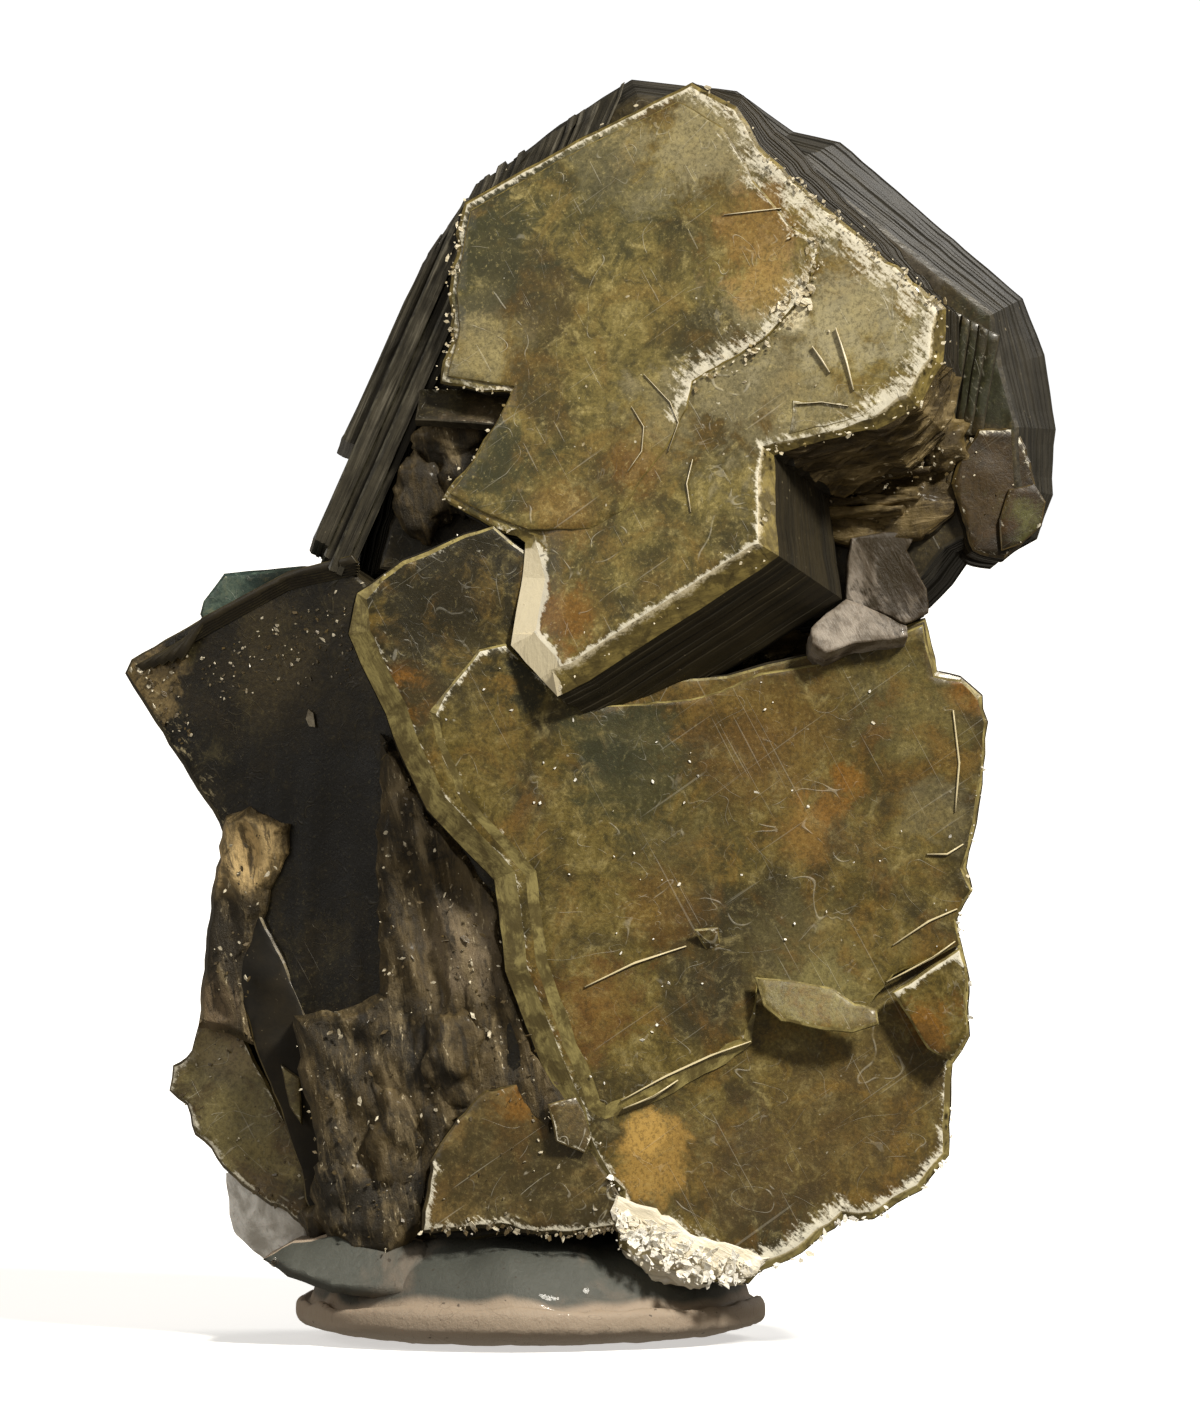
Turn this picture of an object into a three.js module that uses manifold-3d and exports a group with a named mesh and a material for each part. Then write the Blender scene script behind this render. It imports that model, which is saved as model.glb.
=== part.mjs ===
// A cluster of intergrown muscovite mica books, standing in a pad of mounting putty.
// Millimetres, +Z up. The cluster's best side looks along -Y. The origin is the centre of the
// putty's flat base.
//
// A mica book is a stack of thin sheets. It is modelled as a loft through a few outlines of its
// sheets: each outline is a list of [x, z] corners, clockwise as seen from the front, laid on a
// plane that leans left, right, up or down. Books that grew into each other are one solid.
import * as THREE from "three";
import { ConvexGeometry } from "three/addons/geometries/ConvexGeometry.js";
import { LoftGeometry } from "three/addons/geometries/LoftGeometry.js";
import { mergeVertices } from "three/addons/utils/BufferGeometryUtils.js";
import Module from "manifold-3d";

// ---- driving dimensions ----------------------------------------------------------------------

const GAP = 0.3; // free space kept between pieces that touch
const SINK = 0.25; // how far a raised sheet is sunk into the book that carries it

const PUTTY = {
  centre: [-1.1, -0.2, 2.3],
  radii: [11.7, 10.4, 3.9], // half its width, depth and height before its base is pressed flat
  segments: [44, 22],
  topLift: 1.0, // how far the pressed-up middle stands over the lump
};

const COLOURS = { mica: 0x6f6238, feldspar: 0xb9b0a4, quartz: 0xc4c6c8, putty: 0xab9f97 };

// ---- the books -------------------------------------------------------------------------------

// The upper book, whose big six-sided face with two notches is the front of the cluster.
const UPPER_FRONT = [
  [7.25, 62.6], [9.5, 61.4], [10.85, 59.0], [14.5, 55.75], [19.6, 51.4], [19.25, 48.75],
  [18.0, 46.75], [16.15, 45.6], [11.0, 44.4], [11.0, 39.6], [0.25, 32.6], [-1.85, 35.0],
  [-1.0, 40.0], [-3.25, 41.0], [-5.15, 42.1], [-3.35, 44.5], [-1.5, 47.25], [-5.25, 47.75],
  [-4.65, 50.5], [-4.75, 52.5], [-4.0, 56.75], [1.5, 59.75],
];
const UPPER_BACK = [
  [8.0, 62.4], [9.9, 61.6], [12.4, 59.4], [17.6, 55.2], [22.7, 50.4], [22.2, 46.6],
  [21.0, 44.4], [19.6, 43.0], [14.6, 41.9], [14.85, 37.0], [4.1, 30.2], [1.0, 33.0],
  [1.5, 38.0], [-0.5, 39.0], [-2.5, 40.5], [-1.0, 43.0], [1.0, 46.5], [-3.0, 47.0],
  [-3.5, 50.5], [-3.6, 52.5], [-3.4, 57.0], [2.3, 60.2],
];

// The wide book behind it. Its outer rim is the whole top of the cluster.
const CROWN_FRONT = [
  [-3.2, 57.2], [1.0, 60.3], [4.5, 62.5], [9.5, 61.8], [11.5, 59.7], [12.75, 59.1],
  [23.1, 50.9], [24.4, 45.3], [24.4, 42.3], [23.6, 40.8], [22.4, 40.2], [20.6, 40.0],
  [18.2, 37.6], [12.5, 36.5], [0.75, 38.5], [-7.4, 40.5], [-5.6, 47.5],
];
const CROWN_RIM = [
  [-3.65, 57.4], [0.75, 60.75], [4.35, 63.0], [9.85, 62.4], [12.25, 60.4], [15.35, 59.9],
  [23.75, 52.0], [25.35, 45.5], [25.25, 42.25], [24.5, 40.0], [22.75, 39.2], [21.25, 39.25],
  [19.0, 36.4], [12.75, 34.5], [0.75, 36.0], [-9.0, 39.5], [-7.2, 47.5],
];
const CROWN_BACK = [
  [-4.4, 55.6], [-0.4, 58.8], [3.4, 61.2], [8.6, 60.9], [11.3, 59.0], [14.2, 58.3],
  [22.0, 51.2], [23.6, 45.4], [23.4, 42.4], [22.6, 40.4], [21.2, 39.4], [19.6, 38.6],
  [17.2, 35.4], [11.5, 32.5], [0.4, 33.6], [-8.6, 38.0], [-7.6, 47.0],
];

// The narrow book at the left of the top, seen along its sheets. Its outlines are
// [distance down its length, depth] and are stacked across its thickness.
const BLADE = {
  top: [-3.7, 57.5],
  down: [-0.405, -0.914], // direction of its length, as x and z
  inner: [[0.0, -3.6], [3.0, -4.6], [20.4, -3.6], [22.0, 1.0], [19.0, 9.5], [3.0, 8.0], [-0.4, 3.0]],
  outer: [[0.4, -3.2], [3.0, -4.2], [13.0, -3.4], [14.4, 0.5], [12.5, 7.8], [3.4, 6.8], [0.2, 2.6]],
  innerThickness: 2.6,
  outerThickness: 1.2,
};

// The lower book, and the two sheets that are broken back in steps on its face.
const LOWER_FRONT = [
  [-8.75, 38.0], [-8.0, 38.6], [-5.25, 39.9], [-2.25, 41.2], [0.0, 40.5], [4.0, 37.5],
  [9.0, 35.2], [13.5, 34.2], [17.75, 34.6], [19.2, 34.4], [19.5, 33.0], [21.0, 32.9],
  [21.8, 31.9], [21.7, 29.0], [20.8, 23.75], [21.1, 22.75], [20.4, 21.25], [20.9, 19.0],
  [21.0, 15.5], [20.15, 14.1], [19.9, 9.5], [18.5, 7.9], [16.0, 6.15], [14.5, 6.25],
  [12.75, 4.75], [10.0, 3.4], [7.75, 3.25], [4.75, 4.1], [3.4, 5.25], [3.35, 7.25],
  [2.25, 11.5], [0.75, 15.0], [-0.85, 19.0], [-1.5, 23.0], [-3.0, 26.0], [-4.75, 28.5],
  [-6.35, 31.25], [-7.25, 33.25], [-8.25, 35.75],
];
const LOWER_BEVEL = 1.1; // how far the left flank stands out behind the face
const LOWER_TOP_SHEET = [
  [-5.75, 31.75], [-3.75, 33.4], [-2.0, 34.5], [0.75, 32.5], [2.75, 31.8], [7.25, 32.15],
  [8.85, 32.6], [10.75, 33.4], [13.5, 33.9], [17.75, 34.4], [19.25, 34.2], [19.5, 33.25],
  [21.0, 33.0], [21.9, 32.0], [21.75, 29.0], [20.9, 23.75], [21.15, 22.75], [20.5, 21.25],
  [20.7, 20.0], [16.75, 18.0], [16.15, 16.75], [15.0, 16.0], [12.75, 16.85], [10.75, 18.0],
  [10.25, 15.25], [7.75, 13.9], [5.25, 12.5], [2.75, 11.25], [2.0, 11.9], [0.85, 15.0],
  [-0.75, 19.0], [-1.4, 23.0], [-2.9, 26.0], [-4.65, 28.5],
];
const LOWER_SIDE_SHEET = [
  [17.2, 17.7], [20.8, 19.9], [21.0, 15.5], [20.2, 14.1], [18.4, 15.2],
];

// The dark book at the left, turned away to the left.
const LEFT_FRONT = [
  [-21.0, 33.9], [-17.25, 35.9], [-13.0, 37.6], [-8.75, 39.2], [-2.25, 41.3], [-0.25, 37.0],
  [0.0, 17.0], [2.75, 9.5], [3.1, 5.6], [-5.75, 4.6], [-7.5, 4.0], [-10.75, 4.2],
  [-12.0, 8.0], [-13.0, 11.5], [-14.1, 17.0], [-14.9, 22.0], [-16.5, 25.9], [-19.75, 30.9],
  [-21.15, 33.0],
];
const LEFT_BACK = [
  [-18.5, 33.0], [-14.8, 34.8], [-11.0, 36.4], [-6.75, 38.0], [1.0, 39.5], [6.5, 36.0],
  [7.6, 17.0], [8.6, 9.5], [8.0, 5.0], [-3.0, 3.8], [-5.0, 3.6], [-9.0, 3.8],
  [-10.0, 7.5], [-11.0, 11.0], [-12.0, 17.0], [-12.9, 21.5], [-14.3, 25.4], [-17.4, 30.2],
  [-18.7, 32.2],
];

// Smaller books around the root of the cluster.
const ROOT_LEFT = [
  [-16.5, 25.9], [-14.0, 27.0], [-12.5, 25.0], [-12.0, 17.0], [-11.2, 9.0], [-11.6, 6.25],
  [-12.75, 5.25], [-15.25, 7.25], [-17.0, 9.5], [-18.0, 11.2], [-18.85, 12.0], [-18.8, 13.4],
  [-18.2, 14.4], [-17.7, 17.75], [-17.2, 22.0],
];
const ROOT_FRONT = [
  [-3.75, 12.5], [-1.25, 13.0], [0.75, 12.0], [0.25, 10.75], [2.75, 8.75], [3.5, 7.0],
  [3.35, 5.75], [0.75, 5.9], [-2.25, 5.75], [-5.75, 5.6], [-6.0, 7.5], [-5.25, 10.5],
];
const RIGHT_PLATE = [
  [22.0, 45.4], [23.6, 45.5], [24.2, 44.0], [24.35, 42.0], [24.3, 40.2], [22.75, 39.3],
  [21.4, 39.4], [20.75, 41.0], [20.0, 43.0], [20.5, 44.25],
];
const TEAL_BOOK = [
  [-17.25, 36.6], [-17.0, 37.5], [-16.1, 38.25], [-13.0, 38.5], [-11.3, 38.9], [-10.6, 36.5],
  [-13.0, 34.0], [-16.4, 34.2],
];
const REAR_BOOK = [
  [-7.0, 33.0], [-4.0, 38.5], [3.0, 41.0], [11.5, 39.5], [16.5, 35.0], [17.5, 27.0],
  [16.0, 17.0], [12.5, 9.5], [6.0, 6.0], [-1.0, 6.5], [-5.5, 11.0], [-7.5, 21.0],
];

// Grains of other minerals, as the corners of convex solids.
const FELDSPAR = [
  [14.6, -7.2, 39.4], [17.8, -6.6, 40.1], [18.6, -7.4, 38.0], [19.0, -6.6, 36.3],
  [18.1, -8.6, 35.4], [16.2, -9.4, 35.2], [14.0, -9.9, 35.0], [13.0, -9.5, 35.7],
  [13.4, -8.9, 36.6], [15.0, -4.0, 38.6], [18.0, -3.4, 39.0], [18.4, -3.6, 36.2],
  [14.4, -4.2, 35.9],
];
const QUARTZ = [
  [-16.1, 1.6, 7.4], [-14.6, -0.9, 6.7], [-12.9, -1.6, 5.4], [-11.9, -1.0, 4.0],
  [-14.4, 0.6, 3.4], [-15.4, 1.2, 4.8], [-16.2, 2.4, 6.0], [-14.9, 4.6, 7.0],
  [-12.8, 4.2, 5.4], [-13.4, 4.4, 4.0],
];

// ---- making shapes ---------------------------------------------------------------------------

const wasm = await Module();
wasm.setup();

/** A closed geometry as a manifold-3d solid. */
function solidOf(geometry) {
  const bare = new THREE.BufferGeometry().copy(geometry);
  bare.deleteAttribute("normal");
  bare.deleteAttribute("uv");
  const merged = mergeVertices(bare, 1e-4);
  return new wasm.Manifold(
    new wasm.Mesh({
      numProp: 3,
      vertProperties: merged.attributes.position.array,
      triVerts: new Uint32Array(merged.index.array),
    }),
  );
}

/** A manifold-3d solid as a geometry with flat facets. */
function geometryOf(solid) {
  const mesh = solid.getMesh();
  const geometry = new THREE.BufferGeometry();
  geometry.setAttribute("position", new THREE.BufferAttribute(mesh.vertProperties, 3));
  geometry.setIndex(new THREE.BufferAttribute(mesh.triVerts, 1));
  const flat = geometry.toNonIndexed();
  flat.computeVertexNormals();
  return flat;
}

/** The corners of one sheet: an outline laid on the plane y + lean.x * x + lean.z * z. */
function sheet(outline, plane) {
  return outline.map(
    ([x, z]) =>
      new THREE.Vector3(
        x,
        plane.y + plane.lean[0] * (x - plane.at[0]) + plane.lean[1] * (z - plane.at[1]),
        z,
      ),
  );
}

/** The outline halfway between two others, or at any share of the way. */
function between(a, b, share) {
  return a.map(([x, z], i) => [x + (b[i][0] - x) * share, z + (b[i][1] - z) * share]);
}

/** An outline moved by a step and grown from its own middle. */
function moved(outline, [dx, dz], grow = 1) {
  const mx = outline.reduce((sum, p) => sum + p[0], 0) / outline.length;
  const mz = outline.reduce((sum, p) => sum + p[1], 0) / outline.length;
  return outline.map(([x, z]) => [mx + (x - mx) * grow + dx, mz + (z - mz) * grow + dz]);
}

/** A book lofted through sheets, front to back. */
function book(sections) {
  return solidOf(new LoftGeometry(sections, { capStart: true, capEnd: true }));
}

/** A book whose sheets are one outline, swept square to its face. */
function prism(outline, plane, thickness, grow = 1) {
  const step = [-plane.lean[0] * thickness, -plane.lean[1] * thickness];
  const back = moved(outline, step, grow);
  const behind = {
    y: plane.y + thickness,
    lean: plane.lean,
    at: [plane.at[0] + step[0], plane.at[1] + step[1]],
  };
  return book([sheet(outline, plane), sheet(back, behind)]);
}

/** A convex grain from its corners. */
function grain(corners) {
  return solidOf(new ConvexGeometry(corners.map((c) => new THREE.Vector3(...c))));
}

// ---- the crystals ----------------------------------------------------------------------------

function upperBook() {
  const face = { y: -10, lean: [-0.3, 0.22], at: [7, 47] };
  const behind = (y) => ({ y, lean: face.lean, at: [10.5, 44.5] });
  return book([
    sheet(UPPER_FRONT, face),
    sheet(between(UPPER_FRONT, UPPER_BACK, 0.5), { ...behind(-4.3), at: [8.75, 45.75] }),
    sheet(UPPER_BACK, behind(1.5)),
  ]);
}

function crownBook() {
  const plane = (y) => ({ y, lean: [-0.12, 0.1], at: [10, 48] });
  return book([
    sheet(CROWN_FRONT, plane(-4.6)),
    sheet(CROWN_RIM, plane(-1.0)),
    sheet(between(CROWN_RIM, CROWN_BACK, 0.35), plane(4.5)),
    sheet(CROWN_BACK, plane(9.0)),
  ]);
}

function bladeBook() {
  const [downX, downZ] = BLADE.down;
  const out = [downZ, -downX]; // across the sheets, towards the upper left
  const corners = (outline, across) =>
    outline.map(
      ([along, depth]) =>
        new THREE.Vector3(
          BLADE.top[0] + downX * along + out[0] * across,
          depth,
          BLADE.top[1] + downZ * along + out[1] * across,
        ),
    );
  const { innerThickness, outerThickness } = BLADE;
  const inner = book([corners(BLADE.inner, 0), corners(BLADE.inner, -innerThickness)]);
  const outer = book([corners(BLADE.outer, outerThickness), corners(BLADE.outer, -SINK)]);
  return inner.add(outer);
}

function lowerBook() {
  const lean = [0.1, 0.02];
  const at = [8, 20];
  const flank = LOWER_FRONT.map(([x, z], i) => [i < 3 || i > 29 ? x - LOWER_BEVEL : x, z]);
  const base = book([
    sheet(LOWER_FRONT, { y: -8.4, lean, at }),
    sheet(flank, { y: -6.6, lean, at }),
    sheet(moved(flank, [-0.3, -0.2], 0.98), { y: -1.5, lean, at }),
    sheet(moved(flank, [-1.2, -0.2], 0.9), { y: 4.0, lean, at }),
  ]);
  const top = prism(LOWER_TOP_SHEET, { y: -9.1, lean, at }, 0.7 + SINK);
  const side = prism(LOWER_SIDE_SHEET, { y: -9.0, lean, at }, 0.6 + SINK);
  return base.add(top).add(side);
}

function leftBook() {
  const face = { y: -4.6, lean: [-0.5, 0.0], at: [-8, 20] };
  return book([
    sheet(LEFT_FRONT, face),
    sheet(between(LEFT_FRONT, LEFT_BACK, 0.5), { ...face, y: 2.0 }),
    sheet(LEFT_BACK, { y: 8.4, lean: [-0.2, 0.05], at: [-5, 20] }),
  ]);
}

function rootBooks() {
  const left = prism(ROOT_LEFT, { y: -0.6, lean: [-0.45, 0.05], at: [-14, 14] }, 6.5, 0.94);
  const front = prism(ROOT_FRONT, { y: -8.3, lean: [-0.12, 0.06], at: [-1, 9] }, 6.0, 1.03);
  return left.add(front);
}

function smallBooks() {
  const plate = prism(RIGHT_PLATE, { y: -7.2, lean: [0.1, 0.1], at: [22, 42] }, 4.5, 1.02);
  const teal = prism(TEAL_BOOK, { y: 2.2, lean: [-0.1, 0.0], at: [-14, 36] }, 4.0, 0.95);
  return plate.add(teal);
}

function rearBook() {
  return prism(REAR_BOOK, { y: 1.0, lean: [0.2, -0.1], at: [5, 23] }, 8.5, 0.9);
}

function clusterSolid() {
  return [
    crownBook(),
    bladeBook(),
    lowerBook(),
    leftBook(),
    rearBook(),
    rootBooks(),
    smallBooks(),
  ].reduce((whole, next) => whole.add(next), upperBook());
}

/** A solid thickened by the gap in every direction, close enough to cut its neighbours with. */
function withGap(solid) {
  const steps = [];
  for (const x of [-1, 0, 1])
    for (const y of [-1, 0, 1])
      for (const z of [-1, 0, 1]) if (x || y || z) steps.push(new THREE.Vector3(x, y, z));
  return steps.reduce((whole, step) => {
    step.setLength(GAP);
    return whole.add(solid.translate([step.x, step.y, step.z]));
  }, solid);
}

/** The lump of putty: a pressed ball with a flat base and a middle squeezed up round the root. */
function puttySolid() {
  const [width, depth, height] = PUTTY.radii;
  const ball = new THREE.SphereGeometry(1, ...PUTTY.segments);
  ball.rotateX(Math.PI / 2);
  const at = ball.attributes.position;
  for (let i = 0; i < at.count; i++) {
    const x = at.getX(i);
    const y = at.getY(i);
    const z = at.getZ(i);
    const squeezed = z > 0 ? PUTTY.topLift * z * z : 0;
    const lobes = 1 + 0.025 * Math.sin(3 * Math.atan2(y, x) + 0.8);
    at.setXYZ(i, x * width * lobes, y * depth * lobes, z * height + squeezed);
  }
  ball.translate(...PUTTY.centre);
  const under = new THREE.BoxGeometry(60, 60, 20).translate(0, 0, -10);
  return solidOf(ball).subtract(solidOf(under));
}

// ---- the object ------------------------------------------------------------------------------

function material(colour, roughness) {
  return new THREE.MeshStandardMaterial({ color: colour, roughness, metalness: 0 });
}

function node(name, solid, look) {
  const mesh = new THREE.Mesh(geometryOf(solid), look);
  mesh.name = name;
  return mesh;
}

const cluster = clusterSolid();
const clearOfCluster = withGap(cluster);
const feldspar = grain(FELDSPAR).subtract(clearOfCluster);
const quartz = grain(QUARTZ).subtract(clearOfCluster);
const putty = puttySolid().subtract(clearOfCluster).subtract(withGap(quartz));

const specimen = new THREE.Group();
specimen.add(
  node("mica_cluster", cluster, material(COLOURS.mica, 0.35)),
  node("feldspar_chip", feldspar, material(COLOURS.feldspar, 0.6)),
  node("quartz_chip", quartz, material(COLOURS.quartz, 0.3)),
  node("mounting_putty", putty, material(COLOURS.putty, 0.85)),
);

export default specimen;
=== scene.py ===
"""A cluster of intergrown muscovite mica books, standing in a pad of mounting putty.

The design's lengths are millimetres in the frame of the CAD model, and become metres when a mesh
is finished. A book's outlines are [x, z] corners, clockwise as seen from the display side, laid
on planes that lean.
"""

import logging
import math
import random
from collections.abc import Callable, Mapping, Sequence
from dataclasses import dataclass, field
from enum import Enum, IntEnum
from typing import Any

import bmesh
import bpy
from mathutils import Matrix, Vector, noise


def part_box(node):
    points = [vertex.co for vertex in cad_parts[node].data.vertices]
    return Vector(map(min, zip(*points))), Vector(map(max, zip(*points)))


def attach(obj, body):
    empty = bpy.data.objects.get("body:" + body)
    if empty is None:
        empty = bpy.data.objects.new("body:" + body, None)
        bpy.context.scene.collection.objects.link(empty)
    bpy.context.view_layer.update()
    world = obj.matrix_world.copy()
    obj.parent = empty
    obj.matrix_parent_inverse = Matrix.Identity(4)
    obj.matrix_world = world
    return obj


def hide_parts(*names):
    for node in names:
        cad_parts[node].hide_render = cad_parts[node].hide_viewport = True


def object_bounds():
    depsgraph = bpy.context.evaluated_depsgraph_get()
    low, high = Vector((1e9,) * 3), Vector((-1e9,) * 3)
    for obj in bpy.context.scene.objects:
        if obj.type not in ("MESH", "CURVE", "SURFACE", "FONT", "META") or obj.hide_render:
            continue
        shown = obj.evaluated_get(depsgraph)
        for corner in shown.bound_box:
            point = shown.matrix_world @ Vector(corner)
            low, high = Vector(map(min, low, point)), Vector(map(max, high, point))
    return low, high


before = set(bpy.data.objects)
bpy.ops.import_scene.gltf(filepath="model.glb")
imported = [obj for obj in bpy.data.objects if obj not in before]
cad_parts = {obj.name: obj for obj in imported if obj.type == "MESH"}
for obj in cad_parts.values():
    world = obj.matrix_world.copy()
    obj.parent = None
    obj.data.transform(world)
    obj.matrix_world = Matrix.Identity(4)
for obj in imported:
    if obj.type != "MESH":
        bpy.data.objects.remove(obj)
CAD_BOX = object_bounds()

log = logging.getLogger("mica")

MM = 0.001
Corner = tuple[float, float]
Outline = Sequence[Corner]
Colour = tuple[float, float, float]
Triple = tuple[float, float, float]


def linear(red: int, green: int, blue: int) -> Colour:
    """A screen colour as linear light.

    Args:
        red: its red, 0 to 255.
        green: its green.
        blue: its blue.

    Returns:
        The colour.
    """

    def channel(value: int) -> float:
        """One channel as linear light."""
        share = value / 255
        return share / 12.92 if share <= 0.04045 else ((share + 0.055) / 1.055) ** 2.4

    return channel(red), channel(green), channel(blue)


# ---- shader graphs ----


class Value:
    """A number that comes out of a node, with arithmetic that adds Math nodes."""

    def __init__(self, graph: "Graph", socket: bpy.types.NodeSocket) -> None:
        """Wraps a socket of a graph."""
        self.graph = graph
        self.socket = socket

    def math(self, operation: str, *others: "Value | float", last: bool = False) -> "Value":
        """A Math node on this value.

        Args:
            operation: the Math node's operation.
            others: its other operands.
            last: whether this value is the last operand rather than the first.

        Returns:
            The node's result.
        """
        operands = (*others, self) if last else (self, *others)
        node = self.graph.node("ShaderNodeMath", {"operation": operation}, dict(enumerate(operands)))
        return Value(self.graph, node.outputs[0])

    def __add__(self, other: "Value | float") -> "Value":
        """Sum."""
        return self.math("ADD", other)

    def __sub__(self, other: "Value | float") -> "Value":
        """Difference."""
        return self.math("SUBTRACT", other)

    def __rsub__(self, other: float) -> "Value":
        """Difference from a number."""
        return self.math("SUBTRACT", other, last=True)

    def __mul__(self, other: "Value | float") -> "Value":
        """Product."""
        return self.math("MULTIPLY", other)

    __radd__ = __add__
    __rmul__ = __mul__

    def above(self, low: float, high: float) -> "Value":
        """A soft step: 0 below low and 1 above high, or the other way round if low > high."""
        node = self.graph.node(
            "ShaderNodeMapRange", {"interpolation_type": "SMOOTHSTEP", "clamp": True},
            {"Value": self, "From Min": low, "From Max": high, "To Min": 0.0, "To Max": 1.0},
        )
        return Value(self.graph, node.outputs[0])

    def line(self, middle: float, width: float) -> "Value":
        """1 where this value is at the middle, falling to 0 at the width: a thin curved line."""
        return (self - middle).math("ABSOLUTE").above(width, width * 0.25)


class Nodes:
    """A node tree, and the one method that adds any node to it."""

    def __init__(self, tree: bpy.types.NodeTree) -> None:
        """Empties the tree."""
        self.tree = tree
        tree.nodes.clear()

    def node(
        self, kind: str, settings: Mapping[str, Any] | None = None,
        inputs: Mapping[str | int, Any] | None = None,
    ) -> bpy.types.Node:
        """Adds a node.

        Args:
            kind: the node's type.
            settings: its properties.
            inputs: the values or links of its sockets, by name or place.

        Returns:
            The node.
        """
        node = self.tree.nodes.new(kind)
        for key, value in (settings or {}).items():
            setattr(node, key, value)
        for key, value in (inputs or {}).items():
            source = value.socket if isinstance(value, Value) else value
            if isinstance(source, bpy.types.NodeSocket):
                self.tree.links.new(source, node.inputs[key])
            elif isinstance(source, tuple) and len(source) == 3 and node.inputs[key].type == "RGBA":
                node.inputs[key].default_value = (*source, 1.0)
            else:
                node.inputs[key].default_value = source
        return node


class Graph(Nodes):
    """A material's node graph, ended by one Principled shader."""

    def __init__(self, name: str) -> None:
        """Starts an empty material with this name."""
        self.material = bpy.data.materials.new(name)
        self.material.use_nodes = True
        super().__init__(self.material.node_tree)
        place = self.node("ShaderNodeTexCoord").outputs["Object"]
        metres = {0: place, "Scale": 1 / MM}
        self.place = self.node("ShaderNodeVectorMath", {"operation": "SCALE"}, metres).outputs[0]

    def attribute(self, name: str) -> Value:
        """The number that the mesh carries under this name."""
        node = self.node("ShaderNodeAttribute", {"attribute_name": name})
        return Value(self, node.outputs["Fac"])

    def along(self, axis: int) -> Value:
        """The x, y or z of the place on the piece, in mm."""
        return Value(self, self.node("ShaderNodeSeparateXYZ", None, {0: self.place}).outputs[axis])

    def mix(self, share: Value | float, a: Any, b: Any) -> Any:
        """A colour between a and b, at a share of b."""
        return self.node("ShaderNodeMix", {"data_type": "RGBA"}, {0: share, 6: a, 7: b}).outputs[2]

    def moved(self, offset: Corner, turn: float = 0.0, stretch: Sequence[float] = (1, 1, 1)) -> Any:
        """The place on the piece, shifted, turned about the Y axis and stretched.

        Args:
            offset: shift in x and z, in mm.
            turn: turn about Y, in degrees.
            stretch: scale along the turned axes.

        Returns:
            The vector's socket.
        """
        place = {
            "Vector": self.place, "Location": (offset[0], 0.0, offset[1]),
            "Rotation": (0.0, math.radians(turn), 0.0),
        }
        shifted = self.node("ShaderNodeMapping", {"vector_type": "POINT"}, place).outputs[0]
        stretched = {0: shifted, 1: tuple(stretch)}
        return self.node("ShaderNodeVectorMath", {"operation": "MULTIPLY"}, stretched).outputs[0]

    def noise(
        self, scale: float, detail: float = 3.0, rough: float = 0.55, warp: float = 0.0, at: Any = None
    ) -> Value:
        """Noise from 0 to 1 at a number of features a millimetre.

        Args:
            scale: features a millimetre.
            detail: octaves.
            rough: how strong the fine octaves are.
            warp: distortion.
            at: the vector that is read, or the place on the piece.

        Returns:
            The noise's value.
        """
        node = self.node(
            "ShaderNodeTexNoise", {"noise_dimensions": "3D"},
            {
                "Vector": at or self.place, "Scale": scale, "Detail": detail, "Roughness": rough,
                "Distortion": warp,
            },
        )
        return Value(self, node.outputs[0])

    def stained(self, colour: Any, stains: Sequence["Stain"], patches: Value, fine: Value) -> Any:
        """Lays stains over a colour.

        Args:
            colour: the colour below.
            stains: the stains.
            patches: noise that bends a stain's rim.
            fine: noise that frays it.

        Returns:
            The colour with the stains.
        """
        level = {0: self.place, 1: (1.0, 0.0, 1.0)}
        flat = self.node("ShaderNodeVectorMath", {"operation": "MULTIPLY"}, level).outputs[0]
        bend = (patches - 0.5) * 3.6 + (fine - 0.5) * 2.2
        for stain in stains:
            ends = {0: flat, 1: (stain.at[0], 0.0, stain.at[1])}
            away = self.node("ShaderNodeVectorMath", {"operation": "DISTANCE"}, ends).outputs["Value"]
            reach = Value(self, away) + bend * stain.radius
            share = reach.above(stain.radius * 1.15, stain.radius * 0.4) * stain.strength
            colour = self.mix(share, colour, stain.colour)
        return colour

    def bump(self, height: Value, depth: float, strength: float) -> Any:
        """A normal that follows a height, where 1 stands for so many mm."""
        inputs = {"Height": height, "Distance": depth * MM, "Strength": strength}
        return self.node("ShaderNodeBump", None, inputs).outputs[0]

    def end(self, **inputs: Any) -> bpy.types.Material:
        """Ends the graph with a Principled shader whose sockets take these values.

        Args:
            inputs: socket names with underscores for spaces.

        Returns:
            The material.
        """
        sockets = {key.replace("_", " "): value for key, value in inputs.items()}
        shader = self.node("ShaderNodeBsdfPrincipled", None, sockets)
        self.node("ShaderNodeOutputMaterial", None, {"Surface": shader.outputs[0]})
        return self.material


# ---- finishes ----


@dataclass(frozen=True)
class Stain:
    """A soft patch of another colour on a mica face."""

    at: Corner
    radius: float
    colour: Colour
    strength: float = 0.7


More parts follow.
